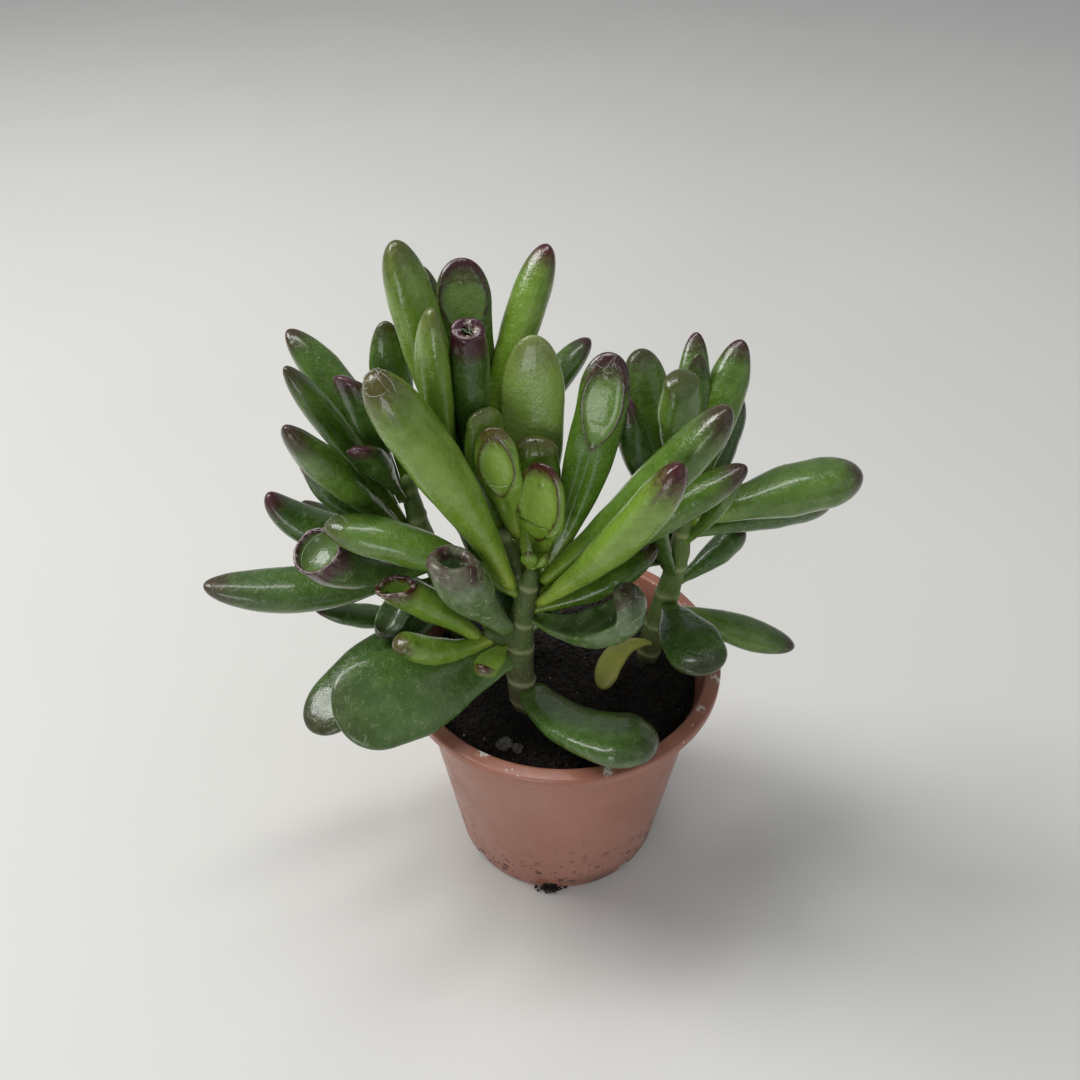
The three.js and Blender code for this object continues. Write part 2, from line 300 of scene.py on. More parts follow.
def hand_in(thing: bpy.types.Object, slot: str, *nodes: str) -> bpy.types.Object:
    """Hangs the piece on the body that it rides on and hides the CAD nodes that it replaces.

    Args:
        thing: the piece.
        slot: not used.
        *nodes: CAD nodes that it replaces.

    Returns:
        The piece.
    """
    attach(thing, BODY)
    if nodes:
        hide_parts(*nodes)
    log.info("%s: %d faces", thing.name, len(thing.data.polygons))
    return thing


# ------------------------------------------------------------------ shader building
Feed = bpy.types.NodeSocket | float | tuple | str | bool


class Weaver:
    """Adds nodes to one shader tree and links them as it goes."""

    def __init__(self, tree: bpy.types.NodeTree) -> None:
        """Starts on a tree that is already there."""
        self.tree = tree

    def feed(self, socket: bpy.types.NodeSocket, value: Feed) -> None:
        """Links another node's output to the socket, or sets the socket's own value.

        Args:
            socket: the input to fill.
            value: an output to link, or a plain value.
        """
        if isinstance(value, bpy.types.NodeSocket):
            self.tree.links.new(value, socket)
        else:
            socket.default_value = value

    def node(self, kind: str, inputs: dict[str | int, Feed] | None = None, **settings: Any) -> bpy.types.Node:
        """Adds a node.

        Args:
            kind: the node's type name, without the leading ShaderNode.
            inputs: values or links for its inputs, by name or number.
            **settings: its other settings.

        Returns:
            The node.
        """
        made = self.tree.nodes.new("ShaderNode" + kind)
        for key, value in settings.items():
            setattr(made, key, value)
        for key, value in (inputs or {}).items():
            self.feed(made.inputs[key], value)
        return made

    def where(self) -> bpy.types.NodeSocket:
        """The place on the object, in metres."""
        return self.node("TexCoord").outputs["Object"]

    def mark(self, name: str) -> bpy.types.NodeSocket:
        """A number stored on the piece's vertices."""
        return self.node("Attribute", attribute_name=name).outputs["Fac"]

    def maths(
        self, operation: str, first: Feed, second: Feed = 0.0, clamp: bool = False
    ) -> bpy.types.NodeSocket:
        """A sum, product or other function of two numbers."""
        made = self.node("Math", {0: first, 1: second}, operation=operation, use_clamp=clamp)
        return made.outputs[0]

    def times(self, *values: Feed) -> bpy.types.NodeSocket:
        """The product of several numbers.

        Args:
            *values: two or more numbers.

        Returns:
            Their product.
        """
        result = values[0]
        for value in values[1:]:
            result = self.maths("MULTIPLY", result, value)
        return result

    def span(
        self, value: Feed, low: Feed, high: Feed, start: Feed = 0.0, end: Feed = 1.0
    ) -> bpy.types.NodeSocket:
        """Start below low, end above high, and a smooth passage between.

        Args:
            value: what is read.
            low: where the passage begins.
            high: where it ends.
            start: result below low.
            end: result above high.

        Returns:
            The result.
        """
        made = self.node(
            "MapRange", {0: value, 1: low, 2: high, 3: start, 4: end}, interpolation_type="SMOOTHSTEP"
        )
        return made.outputs[0]

    def mix(self, share: Feed, first: Feed, second: Feed) -> bpy.types.NodeSocket:
        """A colour between two colours."""
        return self.node("Mix", {0: share, 6: first, 7: second}, data_type="RGBA").outputs[2]

    def grain(
        self, where: Feed, scale: float, detail: float = 2.0, rough: float = 0.5
    ) -> bpy.types.NodeSocket:
        """Soft noise, scale given in waves per metre."""
        inputs = {"Vector": where, "Scale": scale, "Detail": detail, "Roughness": rough}
        return self.node("TexNoise", inputs).outputs["Fac"]

    def cells(self, where: Feed, scale: float, feature: str = "F1") -> bpy.types.Node:
        """A pattern of cells, scale given in cells per metre."""
        return self.node("TexVoronoi", {"Vector": where, "Scale": scale}, feature=feature)

    def bump(
        self, height: Feed, depth: float, strength: float, under: Feed | None = None
    ) -> bpy.types.NodeSocket:
        """A normal bent by a height pattern.

        Args:
            height: the pattern, 0 to 1.
            depth: how deep its relief is, in metres.
            strength: how much of it shows.
            under: a normal that it is laid over.

        Returns:
            The bent normal.
        """
        inputs: dict[str | int, Feed] = {"Height": height, "Distance": depth, "Strength": strength}
        if under is not None:
            inputs["Normal"] = under
        return self.node("Bump", inputs).outputs["Normal"]

    def stretched(self, where: Feed, scale: tuple[float, float, float]) -> bpy.types.NodeSocket:
        """The place with each axis scaled by its own number."""
        return self.node("Mapping", {"Vector": where, "Scale": scale}).outputs["Vector"]

    def effect(self, group: bpy.types.NodeTree, inputs: dict[str, Feed]) -> bpy.types.NodeSocket:
        """Places a shared effect and returns what it puts out.

        Args:
            group: the effect's node group.
            inputs: values or links by input name.

        Returns:
            Its first output.
        """
        made = self.node("Group", node_tree=group)
        for key, value in inputs.items():
            self.feed(made.inputs[key], value)
        return made.outputs[0]


class Effects:
    """The shared effects, each a node group that is built once."""

    def __init__(self) -> None:
        """Builds both groups."""
        self.specks = self._specks()
        self.mottle = self._mottle()

    @staticmethod
    def _open(name: str, numbers: dict[str, float], out: str) -> tuple[bpy.types.NodeTree, Weaver, dict, Any]:
        """A new group with a place input, the named numbers and one output number.

        Args:
            name: the group's name.
            numbers: its number inputs and their usual values.
            out: the output's name.

        Returns:
            The group, a weaver on it, its inputs by name, and its output node.
        """
        tree = bpy.data.node_groups.new(name, "ShaderNodeTree")
        tree.interface.new_socket("Place", in_out="INPUT", socket_type="NodeSocketVector")
        for label, value in numbers.items():
            socket = tree.interface.new_socket(label, in_out="INPUT", socket_type="NodeSocketFloat")
            socket.default_value = value
        tree.interface.new_socket(out, in_out="OUTPUT", socket_type="NodeSocketFloat")
        entry = tree.nodes.new("NodeGroupInput")
        leave = tree.nodes.new("NodeGroupOutput")
        return tree, Weaver(tree), {s.name: s for s in entry.outputs if s.name}, leave

    def _specks(self) -> bpy.types.NodeTree:
        """Round specks, in a share of the cells of a cell pattern.

        Returns:
            The group.
        """
        tree, weave, given, leave = self._open(
            "Specks", {"Cells": 900.0, "Radius": 0.2, "Share": 0.3}, "Mask"
        )
        cells = weave.node("TexVoronoi", {"Vector": given["Place"], "Scale": given["Cells"]})
        inner = weave.maths("MULTIPLY", given["Radius"], 0.45)
        dot = weave.span(cells.outputs["Distance"], inner, given["Radius"], 1.0, 0.0)
        pick = weave.node("SeparateColor", {0: cells.outputs["Color"]}).outputs[0]
        chosen = weave.maths("LESS_THAN", pick, given["Share"])
        weave.feed(leave.inputs["Mask"], weave.times(dot, chosen))
        return tree

    def _mottle(self) -> bpy.types.NodeTree:
        """Soft patches with a broken edge.

        Returns:
            The group.
        """
        tree, weave, given, leave = self._open("Mottle", {"Patches": 120.0, "Edge": 0.1}, "Mask")
        patches = weave.node(
            "TexNoise",
            {"Vector": given["Place"], "Scale": given["Patches"], "Detail": 5.0, "Roughness": 0.6},
        )
        low = weave.maths("SUBTRACT", 0.52, given["Edge"])
        high = weave.maths("ADD", 0.52, given["Edge"])
        weave.feed(leave.inputs["Mask"], weave.span(patches.outputs["Fac"], low, high))
        return tree


def new_material(name: str) -> tuple[bpy.types.Material, Weaver, bpy.types.Node]:
    """A material with its node tree and its Principled shader.

    Args:
        name: the material's name.

    Returns:
        The material, a weaver on its tree, and its shader.
    """
    material = bpy.data.materials.new(name)
    material.use_nodes = True
    tree = material.node_tree
    tree.nodes.clear()
    weave = Weaver(tree)
    shader = weave.node("BsdfPrincipled")
    out = weave.node("OutputMaterial")
    tree.links.new(shader.outputs[0], out.inputs["Surface"])
    return material, weave, shader


# ------------------------------------------------------------------ finishes
SPECK = tint(196, 204, 160)
# pale film colour: real dust on old leaves, a painted sheen on crown_window
DUST_AND_SHEEN = tint(138, 152, 118)
SCRATCH = tint(206, 212, 190)
CRUST = tint(205, 196, 178)
HOLLOW_SHADE = tint(26, 22, 20)
WAXY = {
    "Coat Roughness": 0.08,
    "IOR": 1.45,
    "Subsurface Weight": 0.12,
    "Subsurface Radius": (0.5, 1.0, 0.25),
    "Subsurface Scale": 1.2 * MM,
}


@dataclass(frozen=True)
class LeafFinish:
    """How one age of leaf looks."""

    name: str
    stalk: Colour
    body: Colour
    light: Colour
    deep: Colour
    tip: Colour
    roughness: float
    coat: float

    def _flesh(
        self, weave: Weaver, effects: Effects, where: Feed, dark: Feed, pale: Feed
    ) -> bpy.types.NodeSocket:
        """Paints the skin from stalk to end, with patches, specks and a per-leaf shift lighter or darker,
        partly the leaf's own colour and partly painted shade and painted sheen.

        Args:
            weave: the weaver in use.
            effects: the shared groups.
            where: the place on the leaf.
            dark: mask of the dark specks.
            pale: mask of the pale specks.

        Returns:
            The colour.
        """
        along, tone = weave.mark("along"), weave.mark("tone")
        broad = weave.grain(where, 95.0, 3.0)
        wander = weave.node("Math", {0: broad, 1: 0.22, 2: -0.11}, operation="MULTIPLY_ADD")
        drift = weave.maths("ADD", along, wander.outputs[0])
        skin = weave.mix(weave.span(drift, 0.0, 0.3), self.stalk, self.body)
        skin = weave.mix(weave.times(weave.span(drift, 0.55, 1.0), 0.5), skin, self.deep)
        patches = weave.effect(effects.mottle, {"Place": where, "Patches": 210.0, "Edge": 0.14})
        skin = weave.mix(weave.times(patches, 0.28), skin, self.light)
        # Above 0 lightens the skin and below 0 darkens it: partly the leaf's own colour, partly a painted
        # sheen on crown_window and painted shade on leaves that sit in shade.
        skin = weave.mix(weave.maths("MAXIMUM", tone, 0.0), skin, self.light)
        shadow = weave.maths("MAXIMUM", weave.maths("MULTIPLY", tone, -1.0), 0.0)
        skin = weave.mix(shadow, skin, self.deep)
        skin = weave.mix(weave.times(dark, 0.4), skin, self.deep)
        return weave.mix(weave.times(pale, 0.38), skin, SPECK)

    def _blushed(self, weave: Weaver, skin: Feed, red: Feed, fine: Feed) -> bpy.types.NodeSocket:
        """Paints the maroon tip and rim line, and a painted sheen that lightens the oval face of a spoon.

        Args:
            weave: the weaver in use.
            skin: the colour so far.
            red: how maroon this leaf is.
            fine: a fine noise.

        Returns:
            The colour.
        """
        along = weave.mark("along")
        reach = weave.maths("ADD", along, weave.times(weave.maths("SUBTRACT", fine, 0.5), 0.12))
        blush = weave.times(weave.span(reach, 0.82, 0.985), red)
        edge = weave.span(weave.mark("edge"), 0.987, 0.999)
        blush = weave.maths("MAXIMUM", blush, weave.times(edge, weave.span(along, 0.78, 0.95), red))
        skin = weave.mix(blush, skin, self.tip)
        # painted sheen: the spoon's face is lightened towards the light colour, less where it is maroon
        lit = weave.times(weave.mark("lit"), weave.maths("SUBTRACT", 0.6, weave.times(blush, 0.5)))
        return weave.mix(lit, skin, self.light)

    def _mouth(self, weave: Weaver, skin: Feed, red: Feed, fine: Feed) -> bpy.types.NodeSocket:
        """Paints the hollow of a rolled leaf with painted shade deepening into it, its maroon lip and the
        crust on it.

        Args:
            weave: the weaver in use.
            skin: the colour so far.
            red: how maroon this leaf is.
            fine: a fine noise.

        Returns:
            The colour.
        """
        lip, hollow = weave.mark("lip"), weave.mark("hollow")
        # painted shade: the hollow darkens towards its middle and, by the leaf's dark setting, towards near
        # black
        pit = weave.times(weave.span(hollow, 0.1, 1.0), weave.mark("pit"))
        shade = weave.times(weave.mark("dark"), weave.span(hollow, 0.05, 0.8))
        inside = weave.mix(shade, weave.mix(pit, self.light, self.deep), HOLLOW_SHADE)
        skin = weave.mix(weave.span(hollow, 0.0, 0.12), skin, inside)
        maroon = weave.maths("MINIMUM", weave.maths("ADD", red, 0.25), 1.0)
        skin = weave.mix(weave.times(lip, maroon), skin, self.tip)
        crust = weave.times(lip, weave.span(fine, 0.5, 0.62), weave.mark("crust"))
        return weave.mix(crust, skin, CRUST)

    def material(self, effects: Effects) -> bpy.types.Material:
        """Builds the fleshy waxy skin from the marks on the leaf.

        Args:
            effects: the shared speck and mottle groups.

        Returns:
            The material.
        """
        material, weave, shader = new_material(self.name)
        where = weave.where()
        dust = weave.mark("dust")
        red = weave.maths("MINIMUM", weave.times(weave.mark("red"), 1.45), 1.0)
        dark = weave.effect(effects.specks, {"Place": where, "Cells": 620.0, "Radius": 0.2, "Share": 0.3})
        pale = weave.effect(effects.specks, {"Place": where, "Cells": 1150.0, "Radius": 0.23, "Share": 0.22})
        fine = weave.grain(where, 700.0, 3.0)
        skin = self._flesh(weave, effects, where, dark, pale)
        skin = self._blushed(weave, skin, red, fine)
        skin = self._mouth(weave, skin, red, fine)
        # pale film: real dust on the old leaves, a painted sheen on crown_window
        film = weave.times(dust, weave.span(weave.grain(where, 260.0, 4.0), 0.3, 0.66))
        skin = weave.mix(weave.times(film, 0.6), skin, DUST_AND_SHEEN)
        web = weave.cells(where, 300.0, "DISTANCE_TO_EDGE").outputs["Distance"]
        broken = weave.span(weave.grain(where, 420.0, 2.0), 0.5, 0.6)
        marked = weave.times(weave.span(web, 0.0, 0.03, 1.0, 0.0), broken)
        scratch = weave.times(marked, weave.maths("ADD", weave.times(dust, 0.6), 0.16))
        weave.feed(shader.inputs["Base Color"], weave.mix(scratch, skin, SCRATCH))
        worn = weave.span(weave.grain(where, 330.0, 4.0), 0.3, 0.75, self.roughness, self.roughness + 0.17)
        weave.feed(shader.inputs["Roughness"], weave.maths("ADD", worn, weave.times(dust, 0.22)))
        normal = weave.bump(weave.grain(where, 640.0, 2.0), 0.5 * MM, 0.5)
        pores = weave.cells(where, 2100.0, "SMOOTH_F1").outputs["Distance"]
        normal = weave.bump(pores, 0.14 * MM, 0.42, normal)
        normal = weave.bump(weave.maths("SUBTRACT", pale, dark), 0.06 * MM, 0.4, normal)
        weave.feed(shader.inputs["Normal"], normal)
        for setting, value in WAXY.items():
            shader.inputs[setting].default_value = value
        shader.inputs["Coat Weight"].default_value = self.coat
        return material


@dataclass(frozen=True)
class StemFinish:
    """How a stem's bark or green skin looks."""

    name: str
    skin: Colour
    bark: Colour
    ring: Colour
    roughness: float

    def material(self, effects: Effects) -> bpy.types.Material:
        """Builds the skin with leaf-scar rings, bark low down and pale flecks.

        Args:
            effects: the shared groups.

        Returns:
            The material.
        """
        material, weave, shader = new_material(self.name)
        where = weave.where()
        ring = weave.mark("ring")
        low = weave.mark("bark")
        grain = weave.grain(weave.stretched(where, (1.0, 1.0, 0.35)), 520.0, 4.0)
        colour = weave.mix(weave.span(grain, 0.35, 0.7), self.skin, self.bark)
        colour = weave.mix(low, weave.mix(0.3, self.skin, colour), self.bark)
        flecks = weave.effect(effects.specks, {"Place": where, "Cells": 900.0, "Radius": 0.3, "Share": 0.3})
        colour = weave.mix(weave.times(flecks, 0.5), colour, self.ring)
        colour = weave.mix(weave.times(ring, 0.85), colour, self.ring)
        weave.feed(shader.inputs["Base Color"], colour)
        rough = weave.span(grain, 0.2, 0.8, self.roughness, self.roughness + 0.25)
        weave.feed(shader.inputs["Roughness"], rough)
        normal = weave.bump(grain, 0.4 * MM, 0.5)
        cracks = weave.cells(weave.stretched(where, (1.0, 1.0, 0.4)), 700.0, "DISTANCE_TO_EDGE")
        normal = weave.bump(weave.span(cracks.outputs["Distance"], 0.0, 0.12), 0.25 * MM, 0.35, normal)
        weave.feed(shader.inputs["Normal"], normal)
        return material


@dataclass(frozen=True)
class PotFinish:
    """Moulded terracotta-coloured plastic, dirty near the foot."""

    name: str = "terracotta_plastic"
    plastic: Colour = tint(158, 102, 84)
    worn: Colour = tint(182, 134, 118)
    dirt: Colour = tint(58, 40, 34)
    lime: Colour = tint(226, 220, 210)

    def material(self, effects: Effects) -> bpy.types.Material:
        """Builds the plastic with soil specks on the lower wall and lime on the rim.

        Args:
            effects: the shared groups.

        Returns:
            The material.
        """
        material, weave, shader = new_material(self.name)
        where = weave.where()
        height = weave.node("SeparateXYZ", {0: where}).outputs["Z"]
        cloud = weave.effect(effects.mottle, {"Place": where, "Patches": 38.0, "Edge": 0.2})
        colour = weave.mix(weave.times(cloud, 0.35), self.plastic, self.worn)
        streaks = weave.grain(weave.stretched(where, (1.0, 1.0, 0.12)), 320.0, 3.0)
        colour = weave.mix(weave.times(weave.span(streaks, 0.45, 0.75), 0.16), colour, self.worn)
        foot = weave.span(height, 4 * MM, 32 * MM, 1.0, 0.0)
        specks = weave.effect(effects.specks, {"Place": where, "Cells": 300.0, "Radius": 0.42, "Share": 0.3})
        crumbs = weave.effect(effects.specks, {"Place": where, "Cells": 700.0, "Radius": 0.42, "Share": 0.26})
        dirt = weave.times(weave.maths("MAXIMUM", specks, crumbs), foot, 0.85)
        film = weave.effect(effects.mottle, {"Place": where, "Patches": 90.0, "Edge": 0.12})
        smear = weave.times(film, weave.span(height, 0.0, 9 * MM, 0.75, 0.0))
        colour = weave.mix(weave.maths("MAXIMUM", dirt, smear), colour, self.dirt)
        top = weave.span(height, 65.5 * MM, 68.5 * MM)
        drops = weave.effect(effects.specks, {"Place": where, "Cells": 190.0, "Radius": 0.42, "Share": 0.17})
        salt = weave.effect(effects.specks, {"Place": where, "Cells": 700.0, "Radius": 0.3, "Share": 0.08})
        ragged = weave.span(weave.grain(where, 900.0, 3.0), 0.4, 0.55)
        lime = weave.times(weave.maths("MAXIMUM", weave.times(drops, ragged), weave.times(salt, 0.7)), top)
        colour = weave.mix(weave.times(lime, 0.9), colour, self.lime)
        weave.feed(shader.inputs["Base Color"], colour)
        gloss = weave.span(weave.grain(where, 150.0, 4.0), 0.3, 0.7, 0.27, 0.42)
        soiled = weave.maths("MAXIMUM", dirt, lime)
        gloss = weave.maths("ADD", gloss, weave.times(soiled, 0.35), clamp=True)
        weave.feed(shader.inputs["Roughness"], gloss)
        normal = weave.bump(weave.grain(where, 800.0, 3.0), 0.12 * MM, 0.25)
        normal = weave.bump(soiled, 0.2 * MM, 0.5, normal)
        weave.feed(shader.inputs["Normal"], normal)
        return material


@dataclass(frozen=True)
class EarthFinish:
    """Damp peat, or the grit and pebbles in it."""

    name: str
    dark: Colour
    light: Colour
    roughness: float
    scale: float

    def material(self, effects: Effects) -> bpy.types.Material:
        """Builds a crumbly patchy surface.

        Args:
            effects: the shared groups.

        Returns:
            The material.
        """
        material, weave, shader = new_material(self.name)
        where = weave.where()
        grain = weave.grain(where, self.scale, 5.0, 0.65)
        colour = weave.mix(weave.span(grain, 0.35, 0.72), self.dark, self.light)
        flecks = weave.effect(
            effects.specks, {"Place": where, "Cells": self.scale, "Radius": 0.3, "Share": 0.12}
        )
        colour = weave.mix(weave.times(flecks, 0.5), colour, self.light)
        weave.feed(shader.inputs["Base Color"], colour)
        rough = weave.span(grain, 0.2, 0.8, self.roughness - 0.2, self.roughness)
        weave.feed(shader.inputs["Roughness"], rough)
        weave.feed(shader.inputs["Normal"], weave.bump(grain, 0.7 * MM, 0.7))
        return material


@dataclass(frozen=True)
class ThreadFinish:
    """Pale cobweb silk."""

    name: str = "cobweb_silk"

    def material(self, effects: Effects) -> bpy.types.Material:
        """Builds a pale soft thread with dusty knots.

        Args:
            effects: the shared groups.

        Returns:
            The material.
        """
        material, weave, shader = new_material(self.name)
        knots = weave.effect(effects.mottle, {"Place": weave.where(), "Patches": 400.0, "Edge": 0.1})
        weave.feed(shader.inputs["Base Color"], weave.mix(knots, tint(214, 212, 204), tint(170, 168, 158)))
        weave.feed(shader.inputs["Roughness"], weave.span(knots, 0.0, 1.0, 0.55, 0.8))
        return material


LEAF_FINISHES = {
    "young_leaf": LeafFinish(
        "young_leaf", tint(158, 180, 62), tint(112, 146, 40), tint(160, 190, 88), tint(66, 98, 24),
        tint(74, 24, 26), 0.2, 0.5,
    ),
    "grown_leaf": LeafFinish(
        "grown_leaf", tint(126, 154, 44), tint(82, 116, 32), tint(126, 160, 70), tint(42, 68, 18),
        tint(60, 22, 24), 0.21, 0.5,
    ),
    "old_leaf": LeafFinish(
        "old_leaf", tint(88, 120, 40), tint(62, 94, 30), tint(110, 142, 70), tint(28, 46, 18),
        tint(72, 27, 42), 0.23, 0.45,
    ),
    "yellow_leaf": LeafFinish(
        "yellow_leaf", tint(104, 112, 46), tint(176, 178, 66), tint(222, 218, 120), tint(92, 96, 48),
        tint(120, 92, 52), 0.36, 0.2,
    ),
}
EARTH_FINISHES = {
    "peat": EarthFinish("peat", tint(16, 13, 12), tint(44, 34, 27), 0.98, 900.0),
    "crumbs": EarthFinish("peat_crumbs", tint(15, 12, 10), tint(54, 41, 31), 0.98, 1100.0),
    "grit": EarthFinish("grit", tint(150, 96, 44), tint(206, 158, 84), 0.75, 1400.0),
    "pale": EarthFinish("pale_grit", tint(150, 144, 130), tint(214, 208, 194), 0.8, 1200.0),
    "stone": EarthFinish("pebble", tint(84, 80, 74), tint(138, 132, 124), 0.7, 700.0),
}
STEM_FINISHES = {
    "old_stem": StemFinish("old_stem", tint(84, 104, 50), tint(92, 84, 62), tint(160, 164, 118), 0.5),
    "green_stem": StemFinish("green_stem", tint(98, 122, 54), tint(92, 94, 60), tint(158, 168, 112), 0.42),
}


# ------------------------------------------------------------------ leaves
class Form(Enum):
    """The forms that this plant's leaves take."""

    FINGER = "finger"
    POINTED = "pointed"
    PADDLE = "paddle"
    TUBE = "tube"
    CUP = "cup"
    CURLED = "curled"

    @staticmethod
    def of(node: str) -> "Form":
        """The form that the last words of a leaf's node name give."""
        return Form(node.split("_")[-2])


@dataclass(frozen=True)
class Section:
    """How a form's cross-section is shaped."""

    upper_power: float  # 1 is an ellipse, less is boxier
    lower_power: float
    dish: float  # how far the upper face sinks in


SECTIONS = {
    Form.FINGER: Section(0.86, 0.96, 0.0),
    Form.POINTED: Section(0.9, 0.95, 0.0),
    Form.PADDLE: Section(0.95, 1.0, 0.2),
    Form.TUBE: Section(0.92, 0.95, 0.0),
    Form.CUP: Section(0.88, 0.95, 0.0),
    Form.CURLED: Section(0.9, 1.0, 1.1),
}


class Mouth(Enum):
    """How the end of a rolled leaf is finished."""

    OPEN = "open"
    ROLLED = "rolled"
    PUCKERED = "puckered"
    DISC = "disc"
    SPOON = "spoon"  # closed, with an oval face let into its upper side
    CLOSED = "closed"


@dataclass(frozen=True)
class MouthShape:
    """The lip and hollow of one kind of mouth."""

    lip: float  # width of the lip as a share of the mouth's radius
    swell: float  # how far the lip stands up, as a share of half its width
    depth: float  # depth of the hollow as a share of the CAD hollow's
    pit: float  # painted shade: how much darker the hollow is painted towards its middle
    wrinkle: float  # folds round the lip


MOUTHS = {
    Mouth.OPEN: MouthShape(0.26, 1.1, 1.3, 0.8, 0.02),
    Mouth.ROLLED: MouthShape(0.49, 1.1, 1.1, 1.0, 0.04),
    Mouth.PUCKERED: MouthShape(0.66, 0.9, 0.7, 1.0, 0.12),
    Mouth.DISC: MouthShape(0.17, 1.2, 0.9, 0.4, 0.0),
    Mouth.SPOON: MouthShape(0.0, 0.0, 0.0, 0.0, 0.0),
    Mouth.CLOSED: MouthShape(0.0, 0.0, 0.0, 0.0, 0.0),
}


@dataclass(frozen=True)
class Face:
    """The oval face of a spoon-shaped leaf and the fold below it."""

    centre: float = 0.74  # place along the leaf
    reach: float = 0.235  # half its length as a share of the leaf's
    width: float = 0.74  # its width as a share of the leaf's
    depth: float = 0.55  # how far it sinks in, in millimetres
    fold: float = 0.8  # depth of the fold, in millimetres


@dataclass(frozen=True)
class Look:
    """What sets one leaf apart from the others of its age."""

    tone: float = 0.0  # above 0 lighter, below 0 darker: partly the leaf's own colour, partly painted shade on leaves that sit in shade and a painted sheen on crown_window
    red: float = 0.7  # how much maroon its tip, rim and edge carry
    # pale film: real dust on old leaves, a painted sheen on crown_window
    dust: float = 0.0
    groove: float = 0.0  # depth in millimetres of a fold down the upper face
    dark: float = 0.0  # painted shade inside its hollow: how dark the hollow is painted
    crust: float = 0.0  # pale dried crust on its lip
    ripple: float = 1.0  # how uneven its surface is
    mouth: Mouth = Mouth.CLOSED
    shear: float = 0.0  # extra slant of its mouth
    plump: float = 0.0  # extra width and thickness towards its end
    stout: float = 0.0  # extra girth of its stalk
    curl: float = 0.0  # degrees that its end rolls up
    grow: float = 0.0  # extra length as a share of its own
    face: Face = Face()


# Darker settings on leaves that sit in shade are painted shade; crown_window's raised settings paint a sheen.
LOOKS = {
    "spear": Look(tone=0.05, red=0.5, ripple=1.3, crust=0.6),
    # painted sheen: the raised lightening and the pale film stand for a whitish reflection on its face
    "crown_window": Look(tone=0.8, red=0.35, dust=0.3, ripple=1.6, plump=0.05),
    "crown_front": Look(
        red=0.95, plump=0.28, grow=0.16, mouth=Mouth.SPOON, face=Face(0.62, 0.36, 0.8, 0.6, 0.7)
    ),
    "crown_double": Look(red=0.95, mouth=Mouth.SPOON, face=Face(0.8, 0.18, 0.78, 0.5, 1.0)),
    "crown_notched": Look(tone=0.05, red=0.45, groove=0.4, plump=0.15),
    "fork_front": Look(
        tone=0.2, red=0.55, plump=0.1, mouth=Mouth.SPOON, face=Face(0.68, 0.25, 0.78, 0.5, 0.9)
    ),
    "fork_back": Look(tone=0.2, red=0.3, crust=0.4, plump=0.15),
    "grey_front": Look(
        tone=0.15, red=0.6, dust=0.9, dark=1.0, ripple=2.2, mouth=Mouth.ROLLED, shear=0.5, plump=0.2
    ),
    "left_sucker": Look(tone=0.1, red=0.75, dust=0.15, crust=0.25, ripple=1.4, mouth=Mouth.DISC, plump=0.06),
    "top_dark": Look(tone=-0.05, red=0.8, dark=0.4, crust=0.8, groove=0.3, mouth=Mouth.PUCKERED, shear=-1.0),
    "top_window": Look(red=0.9, plump=0.15, mouth=Mouth.SPOON, face=Face(0.82, 0.16, 0.84, 0.4, 0.9)),
    "broad_front": Look(tone=0.12, red=0.15, dust=0.12, ripple=1.3),
    "ear_front": Look(red=0.7, dust=0.8, ripple=1.6, curl=190, plump=0.15),
    "low_front": Look(red=0.15, dust=0.05, plump=0.3, stout=0.5),
    "low_rear": Look(tone=-0.1, red=0.3),
    "low_ear": Look(tone=-0.1, red=0.3, dust=0.25, ripple=1.5, curl=130),
    "low_long": Look(tone=0.1, red=0.5, dust=0.1),
    "left_hook": Look(tone=-0.1, red=0.85, curl=35),
    "left_dark": Look(tone=-0.05, red=0.5, plump=0.2),
    "left_cup": Look(red=0.85, plump=0.3, mouth=Mouth.SPOON, face=Face(0.66, 0.3, 0.8, 0.7, 0.5)),
    "left_slim": Look(
        tone=-0.1, red=0.9, plump=0.3, mouth=Mouth.SPOON, face=Face(0.64, 0.34, 0.66, 1.0, 0.3)
    ),
    "left_reaching": Look(tone=0.3, red=0.4, plump=0.05),
    "reaching": Look(tone=0.15, red=0.95, ripple=1.2),
    "right_upper": Look(tone=0.05, red=0.6),
    "right_long": Look(tone=0.05, red=0.8, dust=0.05),
    "right_broad": Look(tone=-0.05, red=0.2),
    "right_sucker": Look(tone=0.2, red=0.4, plump=0.3, crust=0.4),
    "right_shaded": Look(tone=-0.2, red=0.9),
    "right_dark": Look(tone=-0.2, red=0.8),
    "side_upper": Look(tone=0.05, red=0.5, crust=0.6, mouth=Mouth.OPEN, shear=1.2),
    "side_lower": Look(red=0.5),
    "side_bud": Look(tone=0.05, red=0.9, mouth=Mouth.OPEN),
    "side_ear": Look(tone=0.3, red=0.8, curl=150),
    "fading": Look(tone=0.45, red=0.15, curl=50),
    "top_left": Look(red=0.35),
    "top_left_rear": Look(red=0.4, plump=0.15),
    "top_right": Look(tone=-0.05, red=0.85),
    "top_spear": Look(tone=0.1, red=0.3, plump=0.3),
    "fork_shaded": Look(tone=-0.25, red=0.6),
    "left_high": Look(red=0.6, plump=0.28),
    "left_second": Look(red=0.5, plump=0.28),
    "left_third": Look(red=0.6, plump=0.24),
    "left_rear": Look(red=0.4, plump=0.3),
    "right_top": Look(tone=0.1, red=0.7, plump=0.25),
    "right_top_rear": Look(red=0.7, plump=0.2),
    "right_rear": Look(tone=0.2, red=0.5, plump=0.1),
}


@dataclass(frozen=True)
class InnerLeaf:
    """A small or shaded leaf between the others: where it grows and how."""

    name: str
    base: tuple[float, float, float]  # x, y and height above the soil, in millimetres
    heading: float
    rise: float
    length: float
    width: float
    slot: str = "old_leaf"


